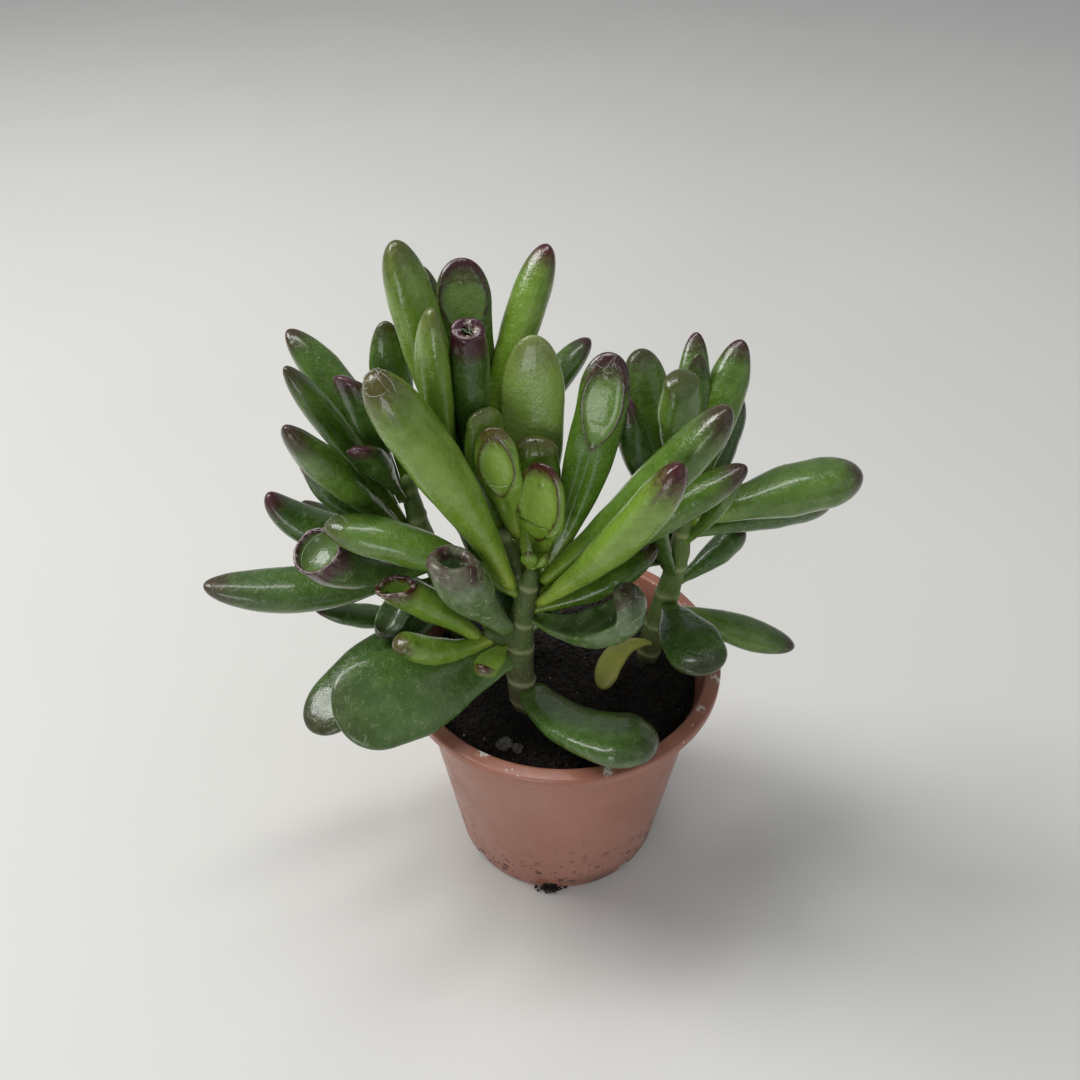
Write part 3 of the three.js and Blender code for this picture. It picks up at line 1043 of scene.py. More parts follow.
INNER_LEAVES = [
    InnerLeaf("behind_spear", (-19.5, 9, 34), 163, 73, 55, 8),
    InnerLeaf("right_nub", (31, 6, 42), 352, 63, 31, 8.5, "grown_leaf"),
    InnerLeaf("right_peek", (31, 6, 52), 80, 65, 42, 9, "grown_leaf"),
    InnerLeaf("under_long", (-36, 18, 5), 190, 13, 36, 9),
    InnerLeaf("hook_rear", (-37.5, 18, 24), 170, 28, 40, 10),
    InnerLeaf("sucker_pale", (-37, 18, 16), 190, 33, 27, 9, "grown_leaf"),
    InnerLeaf("edge_slim", (-19.5, 9, 46), 208, 84, 56, 7),
    InnerLeaf("bud_left", (-8.2, -12, 50), 262, 68, 8, 4.2, "young_leaf"),
    InnerLeaf("bud_right", (-7.4, -12, 50), 330, 55, 7.5, 4, "young_leaf"),
    InnerLeaf("back_bud_left", (-23.6, 8, 69), 200, 72, 11, 4.5, "young_leaf"),
    InnerLeaf("back_bud_right", (-22.8, 8, 69), 330, 70, 12, 4.5, "young_leaf"),
    InnerLeaf("right_bud_left", (32.6, 6, 58), 190, 70, 11, 4.5, "young_leaf"),
    InnerLeaf("right_bud_right", (33.4, 6, 58), 300, 66, 12, 4.5, "young_leaf"),
    InnerLeaf("shade_middle", (-10.2, -11, 27), 54, 61, 45, 10),
    InnerLeaf("shade_right", (-9.5, -11, 28), 24, 47, 44, 10.5),
    InnerLeaf("shade_left", (-11, -11, 27), 134, 60, 47, 9.5),
    InnerLeaf("back_shade_left", (-20, 8.5, 33), 205, 74, 44, 9.5),
    InnerLeaf("back_shade_right", (-18.5, 9, 33), 45, 70, 54, 9.5),
    InnerLeaf("right_shade_left", (30.5, 6, 31), 222, 70, 40, 9),
    InnerLeaf("right_shade_rear", (31, 6.5, 30), 90, 76, 46, 9.5),
]


AROUND = 8  # points in each ring of a CAD leaf
RINGS = 8  # rings of a CAD leaf, stalk to end


@dataclass
class Rings:
    """A leaf's skeleton: at each station its middle and the reach of its section each way."""

    base: np.ndarray
    middles: np.ndarray
    sides: np.ndarray
    uppers: np.ndarray
    lowers: np.ndarray
    apex: np.ndarray
    mouth: bool

    @staticmethod
    def read(node: bpy.types.Object, stems: BVHTree, mouth: bool) -> "Rings":
        """Reads the skeleton back from a CAD leaf.

        Args:
            node: the CAD leaf.
            stems: the stems' surfaces, which its stalk end lies next to.
            mouth: whether its far end is hollow.

        Returns:
            The skeleton.
        """
        shell = bmesh.new()
        shell.from_mesh(node.data)
        bmesh.ops.remove_doubles(shell, verts=shell.verts, dist=WELD)
        shell.verts.ensure_lookup_table()
        poles = [v for v in shell.verts if len(v.link_edges) == AROUND]
        start, end = sorted(poles, key=lambda v: stems.find_nearest(v.co)[3])
        last = {e.other_vert(end) for e in end.link_edges}
        levels = [{start}]
        seen = {start, end} | last
        for _ in range(RINGS - 2):
            levels.append({e.other_vert(v) for v in levels[-1] for e in v.link_edges} - seen)
            seen |= levels[-1]
        levels += [set(shell.verts) - seen, last]
        rings = [np.array(sorted(tuple(v.co) for v in level)) for level in levels[1:]]
        base, apex = np.array(start.co), np.array(end.co)
        shell.free()
        if any(len(ring) != AROUND for ring in rings):
            raise ValueError(f"{node.name}: rings of {[len(ring) for ring in rings]}")
        ordered = [Rings._in_order(ring) for ring in rings]
        early = len(rings) // 3
        outwards = list(range(early - 1, -1, -1)) + list(range(early + 1, len(rings)))
        firsts = {early: Rings._widest(ordered[early])}
        for step in outwards:
            near = step + 1 if step < early else step - 1
            way = Rings._across(ordered[near], firsts[near])
            fits = [abs(Rings._across(ordered[step], k) @ way) for k in range(AROUND // 2)]
            firsts[step] = int(np.argmax(fits))
        middles, sides, uppers, lowers = [], [], [], []
        quarter = AROUND // 4
        for step, ring in enumerate(ordered):
            first = firsts[step]
            left, right = ring[first], ring[(first + 2 * quarter) % AROUND]
            one, other = ring[(first + quarter) % AROUND], ring[(first + 3 * quarter) % AROUND]
            middle = (left + right) / 2
            middles.append(middle)
            sides.append((right - left) / 2)
            uppers.append(one - middle)
            lowers.append(other - middle)
        if np.linalg.norm(uppers[early]) > np.linalg.norm(lowers[early]):
            uppers[early], lowers[early] = lowers[early], uppers[early]
        for step in outwards:
            near = step + 1 if step < early else step - 1
            if np.dot(uppers[step], uppers[near]) < 0:
                uppers[step], lowers[step] = lowers[step], uppers[step]
            if np.dot(sides[step], sides[near]) < 0:
                sides[step] = -sides[step]
        return Rings(
            base, np.array(middles), np.array(sides), np.array(uppers), np.array(lowers), apex, mouth
        )

    @staticmethod
    def _in_order(ring: np.ndarray) -> np.ndarray:
        """The ring's points in the order in which they go round.

        Args:
            ring: the points in any order.

        Returns:
            The points, one after another round the ring.
        """
        middle = ring.mean(0)
        plane = np.linalg.svd(ring - middle)[2]
        flat = (ring - middle) @ plane[:2].T
        return ring[np.argsort(np.arctan2(flat[:, 1], flat[:, 0]))]

    @staticmethod
    def _across(ring: np.ndarray, first: int) -> np.ndarray:
        """The direction from one point to the point opposite."""
        return unit(ring[(first + AROUND // 2) % AROUND] - ring[first])

    @staticmethod
    def _widest(ring: np.ndarray) -> int:
        """Which point starts the ring's widest span."""
        half = AROUND // 2
        return int(np.argmax([np.linalg.norm(ring[k] - ring[k + half]) for k in range(half)]))

    @staticmethod
    def grown(
        base: tuple[float, float, float], heading: float, rise: float, length: float, width: float,
        thick: float = 0.6,
    ) -> "Rings":
        """A straight pointed leaf made from plain sizes.

        Args:
            base: where its stalk starts, in millimetres.
            heading: degrees round from +X.
            rise: degrees above level.
            length: millimetres.
            width: millimetres.
            thick: thickness as a share of the width.

        Returns:
            The skeleton.
        """
        turn, lift = math.radians(heading), math.radians(rise)
        ahead = np.array([math.cos(turn) * math.cos(lift), math.sin(turn) * math.cos(lift), math.sin(lift)])
        side = np.array([-math.sin(turn), math.cos(turn), 0.0])
        upper = np.cross(ahead, side)
        foot = np.array(base) * MM
        shares = np.array([0.04, 0.15, 0.35, 0.6, 0.8, 0.93])
        girths = np.array([0.5, 0.58, 0.8, 1.0, 0.85, 0.5]) * width / 2 * MM
        middles = foot + np.outer(shares * length * MM, ahead) + np.outer(
            np.sin(shares * math.pi) * -0.04 * length * MM, upper
        )
        return Rings(
            foot, middles, np.outer(girths, side), np.outer(girths * thick * 0.8, upper),
            np.outer(-girths * thick, upper), foot + ahead * length * MM, False,
        )


@dataclass
class Leaf:
    """One smooth leaf with its stalk let into its stem."""

    name: str
    rings: Rings
    form: Form
    look: Look
    around: int = 64
    stations: int = 72
    stalk_reach: float = 2.2 * MM  # how far the stalk runs back into the stem
    end_turn: tuple[np.ndarray, np.ndarray, np.ndarray] | None = None  # set where the end rolls up

    def _spine(self) -> tuple[np.ndarray, np.ndarray]:
        """Where the stations lie along the leaf, as lengths, and the leaf's own knots.

        Returns:
            The knots' and the stations' lengths from the stalk.
        """
        ring = self.rings
        line = [ring.base, *ring.middles] + ([] if ring.mouth else [ring.apex])
        knots = np.concatenate([[0.0], np.cumsum(np.linalg.norm(np.diff(line, axis=0), axis=1))])
        shares = np.linspace(0, 1, self.stations)
        if ring.mouth:
            return knots, knots[-1] * shares
        return knots, knots[-1] * np.sin(shares * math.pi / 2) ** 0.9

    def _reach(self, knots: np.ndarray, reach: np.ndarray, at: np.ndarray) -> np.ndarray:
        """One reach of the section, such as its side, at each station.

        Args:
            knots: lengths of the leaf's own rings.
            reach: the reach at each ring.
            at: lengths of the stations.

        Returns:
            The reach at each station.
        """
        sizes = np.linalg.norm(reach, axis=1)
        first = sizes[0] * 0.94
        squares = np.concatenate([[first**2], sizes**2] + ([] if self.rings.mouth else [[0.0]]))
        ways = np.vstack([reach[:1], reach] + ([] if self.rings.mouth else [reach[-1:]]))
        ways = unit(glide(knots, unit(ways), at))
        return ways * np.sqrt(np.maximum(glide(knots, squares, at, steady=True), 0))[:, None]

    def _rows(self) -> tuple[np.ndarray, dict[str, np.ndarray]]:
        """The leaf's rows of points from stalk to end, with the marks of each row.

        Returns:
            The rows and their marks.
        """
        ring = self.rings
        knots, at = self._spine()
        outer = ring
        if ring.mouth:
            outer = Rings(
                ring.base, ring.middles[:-1], ring.sides[:-1], ring.uppers[:-1], ring.lowers[:-1],
                ring.apex, True,
            )
            knots = knots[:-1]
            at = knots[-1] * np.linspace(0, 1, self.stations)
        line = np.vstack([outer.base[None], outer.middles] + ([] if ring.mouth else [outer.apex[None]]))
        line = line[0] + (line - line[0]) * (1 + self.look.grow)
        middles = glide(knots, line, at)
        sides = self._reach(knots, outer.sides, at)
        uppers = self._reach(knots, outer.uppers, at)
        lowers = self._reach(knots, outer.lowers, at)
        fuller = 1 + self.look.plump * np.clip((at / at[-1] - 0.3) / 0.45, 0, 1)[:, None] ** 1.5
        fuller = fuller + self.look.stout * np.clip(1 - at / at[-1] / 0.5, 0, 1)[:, None]
        sides, uppers, lowers = sides * fuller, uppers * fuller, lowers * fuller
        section = SECTIONS[self.form]
        angles = np.arange(self.around) / self.around * FULL_TURN
        cos, sin = np.cos(angles), np.sin(angles)
        across = np.sign(cos) * np.abs(cos) ** 0.94
        up = np.where(sin > 0, np.abs(sin) ** section.upper_power, 0)
        up = up * (1 - section.dish * (1 - cos**2) ** 1.2)
        up += 0.3 * section.dish * np.abs(cos) ** 6 * (sin > -0.3)
        down = np.where(sin < 0, np.abs(sin) ** section.lower_power, 0)
        rows = (
            middles[:, None]
            + sides[:, None] * across[None, :, None]
            + uppers[:, None] * up[None, :, None]
            + lowers[:, None] * down[None, :, None]
        )
        rows = self._curled(self._sheared(rows, middles, up, down), middles, uppers)
        back = unit(middles[0] - middles[2]) * self.stalk_reach
        rows = np.concatenate([(rows[0] * 0.9 + middles[0] * 0.1 + back)[None], rows])
        share = np.concatenate([[0.0], at / at[-1]])
        count = len(share)
        marks = {
            "along": np.repeat(share[:, None], self.around, 1),
            "edge": np.repeat(np.abs(cos)[None], count, 0),
            "upper": np.repeat(sin[None], count, 0),
            "lip": np.zeros((count, self.around)),
            "hollow": np.zeros((count, self.around)),
        }
        if ring.mouth:
            if MOUTHS[self.look.mouth].lip:
                rows, marks = self._roll_in(rows, marks)
            else:
                rows, marks = self._close(rows, marks)
        return rows, marks

    def _close(
        self, rows: np.ndarray, marks: dict[str, np.ndarray]
    ) -> tuple[np.ndarray, dict[str, np.ndarray]]:
        """Adds a blunt rounded end beyond the last ring.

        Args:
            rows: the rows up to the rim.
            marks: the marks of those rows.

        Returns:
            All rows and their marks.
        """
        rim = rows[-1]
        middle = rim.mean(0)
        ahead = unit(middle - rows[-8].mean(0))
        height = 0.62 * np.linalg.norm(rim - middle, axis=1).max()
        turns = np.linspace(0, math.pi / 2, 12)[1:] * 0.985
        cap = [middle + (rim - middle) * math.cos(t) ** 0.9 + ahead * height * math.sin(t) for t in turns]
        for key in marks:
            marks[key] = np.concatenate([marks[key], np.repeat(marks[key][-1:], len(cap), 0)])
        rows = np.concatenate([rows, np.array(cap)])
        foot = rows[1].mean(0)
        reach = (rows - foot) @ unit(rows[-1].mean(0) - foot)
        marks["along"] = np.clip(reach / reach.max(), 0, 1)
        return rows, marks

    def _sheared(self, rows: np.ndarray, middles: np.ndarray, up: np.ndarray, down: np.ndarray) -> np.ndarray:
        """Slants the end so that the mouth faces the upper side more.

        Args:
            rows: the leaf's rows.
            middles: the middle of each row.
            up: how far up each point of a row is.
            down: how far down it is.

        Returns:
            The slanted rows.
        """
        if not self.look.shear:
            return rows
        share = np.clip((np.linspace(0, 1, len(rows)) - 0.55) / 0.45, 0, 1) ** 2
        ahead = unit(middles[-1] - middles[-8])
        girth = np.linalg.norm(self.rings.sides[-2])
        slant = self.look.shear * girth * (0.55 * down - 0.75 * up)
        return rows + (share[:, None] * slant[None, :])[:, :, None] * ahead

    def _curled(self, rows: np.ndarray, middles: np.ndarray, uppers: np.ndarray) -> np.ndarray:
        """Rolls the end of the leaf up and back over its upper face.

        Args:
            rows: the leaf's rows.
            middles: the middle of each row.
            uppers: the way up at each row.

        Returns:
            The rolled rows.
        """
        if not self.look.curl:
            return rows
        rows = rows.copy()
        line = middles.copy()
        start = next(i for i, part in enumerate(np.linspace(0, 1, len(rows))) if part > 0.5)
        ahead = unit(middles[start + 1] - middles[start - 1])
        axis = unit(np.cross(ahead, uppers[start]))
        step = math.radians(self.look.curl) / (len(rows) - start)
        turn = np.array(Matrix.Rotation(step, 3, Vector(axis)))
        for index in range(start, len(rows) - 1):
            pivot = line[index].copy()
            rows[index + 1:] = (rows[index + 1:] - pivot) @ turn.T + pivot
            line[index + 1:] = (line[index + 1:] - pivot) @ turn.T + pivot
        self.end_turn = (line[-1], np.linalg.matrix_power(turn, len(rows) - 1 - start), middles[-1])
        return rows

    def _roll_in(
        self, rows: np.ndarray, marks: dict[str, np.ndarray]
    ) -> tuple[np.ndarray, dict[str, np.ndarray]]:
        """Adds the rounded lip and the hollow to a rolled leaf.

        Args:
            rows: the outer rows up to the rim.
            marks: the marks of those rows.

        Returns:
            All rows and their marks.
        """
        shape = MOUTHS[self.look.mouth]
        chance = seeded(self.name + "rim")
        angles = np.arange(self.around) / self.around * FULL_TURN
        wave = sum(
            chance.normal() * np.sin(k * angles + chance.uniform(0, FULL_TURN)) / k for k in (2, 3, 5)
        )
        edge = rows[-1]
        spread = edge - edge.mean(0)
        outwards = np.linalg.svd(spread)[2][2]
        outwards *= math.copysign(1, float(outwards @ (edge.mean(0) - rows[-8].mean(0))))
        bend = np.clip((np.arange(len(rows)) - len(rows) + 12) / 12, 0, 1) ** 2
        rows = rows + bend[:, None, None] * (wave * 0.14 * MM)[None, :, None] * outwards
        rim = rows[-1]
        middle = rim.mean(0)
        deep = -outwards * max(np.linalg.norm(self.rings.apex - self.rings.middles[-2]), 1.2 * MM)
        floor = middle + deep * shape.depth
        folds = 1 + shape.wrinkle * np.sin(9 * angles + chance.uniform(0, FULL_TURN))
        inner = middle + (rim - middle) * ((1 - shape.lip) * folds)[:, None]
        half = (rim - inner) / 2
        swell = np.linalg.norm(half, axis=1).mean() * shape.swell
        extra, lips, hollows = [], [], []
        for part in np.linspace(0, 1, 11)[1:]:
            turn = part * math.pi
            lift = outwards * swell * math.sin(turn) * (1 if shape.lip < 0.5 else 1 - 0.35 * part)
            extra.append((rim + inner) / 2 + half * math.cos(turn) + lift)
            lips.append(1.0 if shape.lip < 0.5 else float(np.clip(part * 1.9 - 0.7, 0, 1)))
            hollows.append(0.0)
        for step in np.linspace(0, 1, 14)[1:-1]:
            close, sink = math.cos(step * math.pi / 2), math.sin(step * math.pi / 2)
            extra.append(floor + (inner - middle) * close**0.8 + (middle - floor) * (1 - sink**0.85))
            lips.append(max(0.0, 1 - step * 5))
            hollows.append(float(step))
        if shape.lip < 0.5:
            marks["lip"][-3:] = np.array([[0.1], [0.4], [1.0]])
        count = len(extra)
        for key in ("edge", "upper"):
            marks[key] = np.concatenate([marks[key], np.repeat(marks[key][-1:], count, 0)])
        marks["along"] = np.concatenate([marks["along"], np.ones((count, self.around))])
        for key, values in (("lip", lips), ("hollow", hollows)):
            added = np.repeat(np.array(values)[:, None], self.around, 1)
            marks[key] = np.concatenate([marks[key], added])
        return np.concatenate([rows, np.array(extra)]), marks

    def build(self) -> bpy.types.Object:
        """Makes the leaf's closed mesh with its marks and uneven surface.

        Returns:
            The leaf.
        """
        rows, marks = self._rows()
        count, around = rows.shape[:2]
        if self.rings.mouth:
            end = rows[-1].mean(0)
        else:
            rows = rows[:-1]
            marks = {key: value[:-1] for key, value in marks.items()}
            count -= 1
            end = self.rings.apex
            if self.look.curl:
                place, turn, before = self.end_turn
                end = place + turn @ (end - before)
        points = np.vstack([rows.reshape(-1, 3), rows[0].mean(0)[None], end[None]])
        ring = np.arange(around)
        after = (ring + 1) % around
        faces: list[tuple[int, ...]] = []
        for row in range(count - 1):
            low, high = row * around, (row + 1) * around
            faces += list(zip(low + ring, low + after, high + after, high + ring))
        first, last = count * around, count * around + 1
        faces += [(first, int(b), int(a)) for a, b in zip(ring, after)]
        top = (count - 1) * around
        faces += [(last, int(top + a), int(top + b)) for a, b in zip(ring, after)]
        mesh = mesh_from(self.name, points, [tuple(int(i) for i in face) for face in faces])
        open_end = self.rings.mouth and MOUTHS[self.look.mouth].lip > 0
        closing = {"along": 1.0, "edge": 0.0, "upper": 0.0, "lip": 0.0, "hollow": float(open_end)}
        full = {
            key: np.concatenate([value.ravel(), [0.0 if key == "along" else value.ravel()[0], closing[key]]])
            for key, value in marks.items()
        }
        full["lit"] = np.zeros(len(points))
        self._roughen(mesh, full)
        total = len(points)
        full["pit"] = np.full(total, MOUTHS[self.look.mouth].pit)
        for key in ("tone", "red", "dust", "dark", "crust"):
            full[key] = np.full(total, getattr(self.look, key))
        write_marks(mesh, full)
        return new_object(self.name, mesh)

    def _roughen(self, mesh: bpy.types.Mesh, marks: dict[str, np.ndarray]) -> None:
        """Gives the surface soft waves, and the upper face its fold.

        Args:
            mesh: the leaf's mesh.
            marks: its marks, to which a spoon's face is added.
        """
        chance = seeded(self.name)
        points = places(mesh)
        normals = normals_of(mesh)
        width = 2 * np.linalg.norm(self.rings.sides, axis=1).max()
        waves = np.zeros(len(points))
        for _ in range(7):
            way = unit(chance.normal(size=3))
            length = chance.uniform(0.45, 1.3) * width
            waves += np.sin(points @ way / length * FULL_TURN + chance.uniform(0, FULL_TURN))
        fade = np.clip(np.sin(np.clip(marks["along"], 0, 1) * math.pi * 0.92 + 0.12), 0, 1)
        shift = waves / 7 * 0.022 * width * self.look.ripple * fade
        if self.look.mouth is Mouth.SPOON:
            shift += self._face(points, normals, marks)
        upper = np.clip(marks["upper"], 0, 1)
        fold = np.exp(-(((1 - upper) / 0.035) ** 2)) * np.clip(marks["along"] * 2 - 0.6, 0, 1)
        shift -= fold * self.look.groove * MM * (marks["hollow"] < 0.01) * (marks["lip"] < 0.5)
        move_places(mesh, points + normals * shift[:, None])

    def _face(self, points: np.ndarray, normals: np.ndarray, marks: dict[str, np.ndarray]) -> np.ndarray:
        """Sinks the oval face into the upper side, with its rim and the fold below it.

        Args:
            points: the leaf's points.
            normals: its normals.
            marks: the leaf's marks, whose rim and painted-sheen face are filled in here.

        Returns:
            How far each point moves outwards.
        """
        face = self.look.face
        ring = self.rings
        early = len(ring.sides) // 3
        foot = points[marks["along"] < 0.05].mean(0)
        axis = unit(points[marks["along"] > 0.97].mean(0) - foot)
        side = unit(ring.sides[early] - axis * (ring.sides[early] @ axis))
        front = np.cross(side, axis)
        front *= math.copysign(1, float(front @ ring.uppers[early]))
        along = marks["along"]
        middles = foot + (ring.middles - foot) * (1 + self.look.grow)
        shares = (middles - foot) @ axis
        order = np.argsort(shares)
        reach = ((points - foot) @ axis).max()
        sway = np.interp(along * reach, shares[order], ((middles - foot) @ side)[order])
        across = (points - foot) @ side - sway
        half = np.linalg.norm(ring.sides, axis=1).max() * (1 + self.look.plump)
        across = np.abs(across) / half
        on_top = np.clip((normals @ front) / 0.25, 0, 1)
        lengthwise = (along - face.centre) / face.reach
        narrowing = 1 - 0.5 * np.clip(-lengthwise, 0, 1.1) ** 1.5
        away = np.sqrt(lengthwise**2 + (across / (face.width * narrowing)) ** 2)
        inside = np.clip((1 - away) / 0.3, 0, 1) ** 0.7 * on_top
        rim = np.exp(-(((away - 1.02) / 0.08) ** 2)) * on_top
        below = np.clip((face.centre - along) / face.reach - 0.6, 0, 1)
        below *= np.clip((along - 0.12) / 0.2, 0, 1) * on_top
        fold = np.exp(-((across / 0.2) ** 2)) * below
        # the sunken face is marked for a painted sheen in the material
        marks["lit"] = inside
        marks["lip"] = np.maximum(marks["lip"], rim**2.2)
        return (0.3 * rim - face.depth * inside - face.fold * fold) * MM


# ------------------------------------------------------------------ cobwebs
COBWEBS = {
    "spear": ("along", 0.9, 11),
    "left_sucker": ("lip", 0.3, 7),
    "crown_double": ("along", 0.93, 4),
    "top_dark": ("lip", 0.3, 3),
    "grey_front": ("along", 0.6, 7),
    "ear_front": ("along", 0.5, 4),
    "left_reaching": ("along", 0.86, 3),
}


@dataclass
class Cobweb:
    """Fine threads that lie across one leaf."""

    name: str
    count: int
    thick: float = 0.045 * MM
    steps: int = 14

    def strands(
        self, points: np.ndarray, normals: np.ndarray, chosen: np.ndarray
    ) -> list[tuple[np.ndarray, list[tuple[int, ...]]]]:
        """Lays each thread over the surface between two of its points.

        Args:
            points: the leaf's points.
            normals: its normals.
            chosen: which points the threads may touch.

        Returns:
            Points and faces of each thread.
        """
        chance = seeded(self.name + "web")
        points, normals = points[chosen], normals[chosen]
        made = []
        for _ in range(self.count):
            first, last = points[chance.integers(len(points), size=2)]
            route = []
            sway = chance.normal(size=3) * 0.5 * MM
            for share in np.linspace(0, 1, self.steps):
                spot = first + (last - first) * share + sway * math.sin(share * math.pi)
                near = int(np.argmin(((points - spot) ** 2).sum(1)))
                lift = 0.12 * MM + 0.2 * MM * math.sin(share * math.pi)
                route.append(points[near] * 0.85 + spot * 0.15 + normals[near] * lift)
            made.append(self._tube(np.array(route)))
        return made

    def _tube(self, route: np.ndarray) -> tuple[np.ndarray, list[tuple[int, ...]]]:
        """A thin closed tube along a route.

        Args:
            route: the points that it follows.

        Returns:
            Its points and faces.
        """
        smooth = route.copy()
        for _ in range(3):
            smooth[1:-1] = (smooth[:-2] + smooth[1:-1] * 2 + smooth[2:]) / 4
        ahead = unit(np.gradient(smooth, axis=0) + 1e-9)
        side = unit(np.cross(ahead, [0.3, 0.5, 0.81]))
        other = np.cross(ahead, side)
        turns = np.arange(5) / 5 * FULL_TURN
        rings = smooth[:, None] + self.thick * (
            side[:, None] * np.cos(turns)[None, :, None] + other[:, None] * np.sin(turns)[None, :, None]
        )
        faces: list[tuple[int, ...]] = []
        for row in range(len(route) - 1):
            for k in range(5):
                after = (k + 1) % 5
                faces.append((row * 5 + k, row * 5 + after, row * 5 + 5 + after, row * 5 + 5 + k))
        faces.append((4, 3, 2, 1, 0))
        top = (len(route) - 1) * 5
        faces.append(tuple(top + k for k in range(5)))
        return rings.reshape(-1, 3), faces


# ------------------------------------------------------------------ stems
@dataclass
class Stem:
    """A rooted stem with its leaf-scar rings."""

    node: str
    soil_top: float
    voxel: float = 0.55 * MM
    ring_gap: float = 10.5 * MM
    ring_height: float = 0.24 * MM
    swell: float = 0.7 * MM
    bark_height: float = 26 * MM

    def build(self, source: bpy.types.Object) -> bpy.types.Object:
        """Makes the stem smooth and raises a ring at each old leaf's place.

        Args:
            source: the CAD stem.

        Returns:
            The stem.
        """
        stem = solid_copy(source, self.node.replace("_stem", "_stalk"))
        remesh = stem.modifiers.new("even", "REMESH")
        remesh.mode = "VOXEL"
        remesh.voxel_size = self.voxel
        soften = stem.modifiers.new("soften", "SMOOTH")
        soften.iterations = 14
        soften.factor = 0.5
        applied(stem)
        mesh = stem.data
        points, normals = places(mesh), normals_of(mesh)
        chance = seeded(self.node)
        height = points[:, 2] - self.soil_top
        tilt = chance.normal(size=2) * 0.12
        slanted = height + (points[:, :2] - points[:, :2].mean(0)) @ tilt
        rings = np.zeros(len(points))
        place = 3 * MM
        while place < height.max():
            rings = np.maximum(rings, np.exp(-(((slanted - place) / (0.75 * MM)) ** 2)))
            place += self.ring_gap * chance.uniform(0.75, 1.2)
        waves = np.array([noise.noise(Vector(p) * 260) for p in points])
        flutes = np.array([noise.noise(Vector((p[0] * 700, p[1] * 700, p[2] * 130))) for p in points])
        shift = self.swell + rings * self.ring_height + waves * 0.35 * MM + flutes * 0.16 * MM
        move_places(mesh, points + normals * (shift * np.clip(height / (4 * MM) + 1, 0, 1))[:, None])
        bark = np.clip(1 - height / self.bark_height, 0, 1)
        write_marks(mesh, {"ring": rings, "bark": bark})
        mesh.shade_smooth()
        return stem


# ------------------------------------------------------------------ pot
def fillet(profile: list[tuple[float, float, float]], steps: int = 6) -> list[tuple[float, float]]:
    """Rounds the corners of a line.

    Args:
        profile: points as radius, height and the rounding of that corner.
        steps: points in each rounding.

    Returns:
        The rounded line's points.
    """
    out: list[tuple[float, float]] = []
    last = len(profile) - 1
    for index, (radius, height, rounding) in enumerate(profile):
        here = np.array([radius, height])
        if index in (0, last) or rounding == 0:
            out.append((radius, height))
            continue
        before = np.array(profile[index - 1][:2]) - here
        after = np.array(profile[index + 1][:2]) - here
        reach = min(rounding, 0.48 * np.linalg.norm(before), 0.48 * np.linalg.norm(after))
        start, end = here + unit(before) * reach, here + unit(after) * reach
        for share in np.linspace(0, 1, steps):
            bend = (1 - share) ** 2 * start + 2 * share * (1 - share) * here + share**2 * end
            out.append((float(bend[0]), float(bend[1])))
    return out


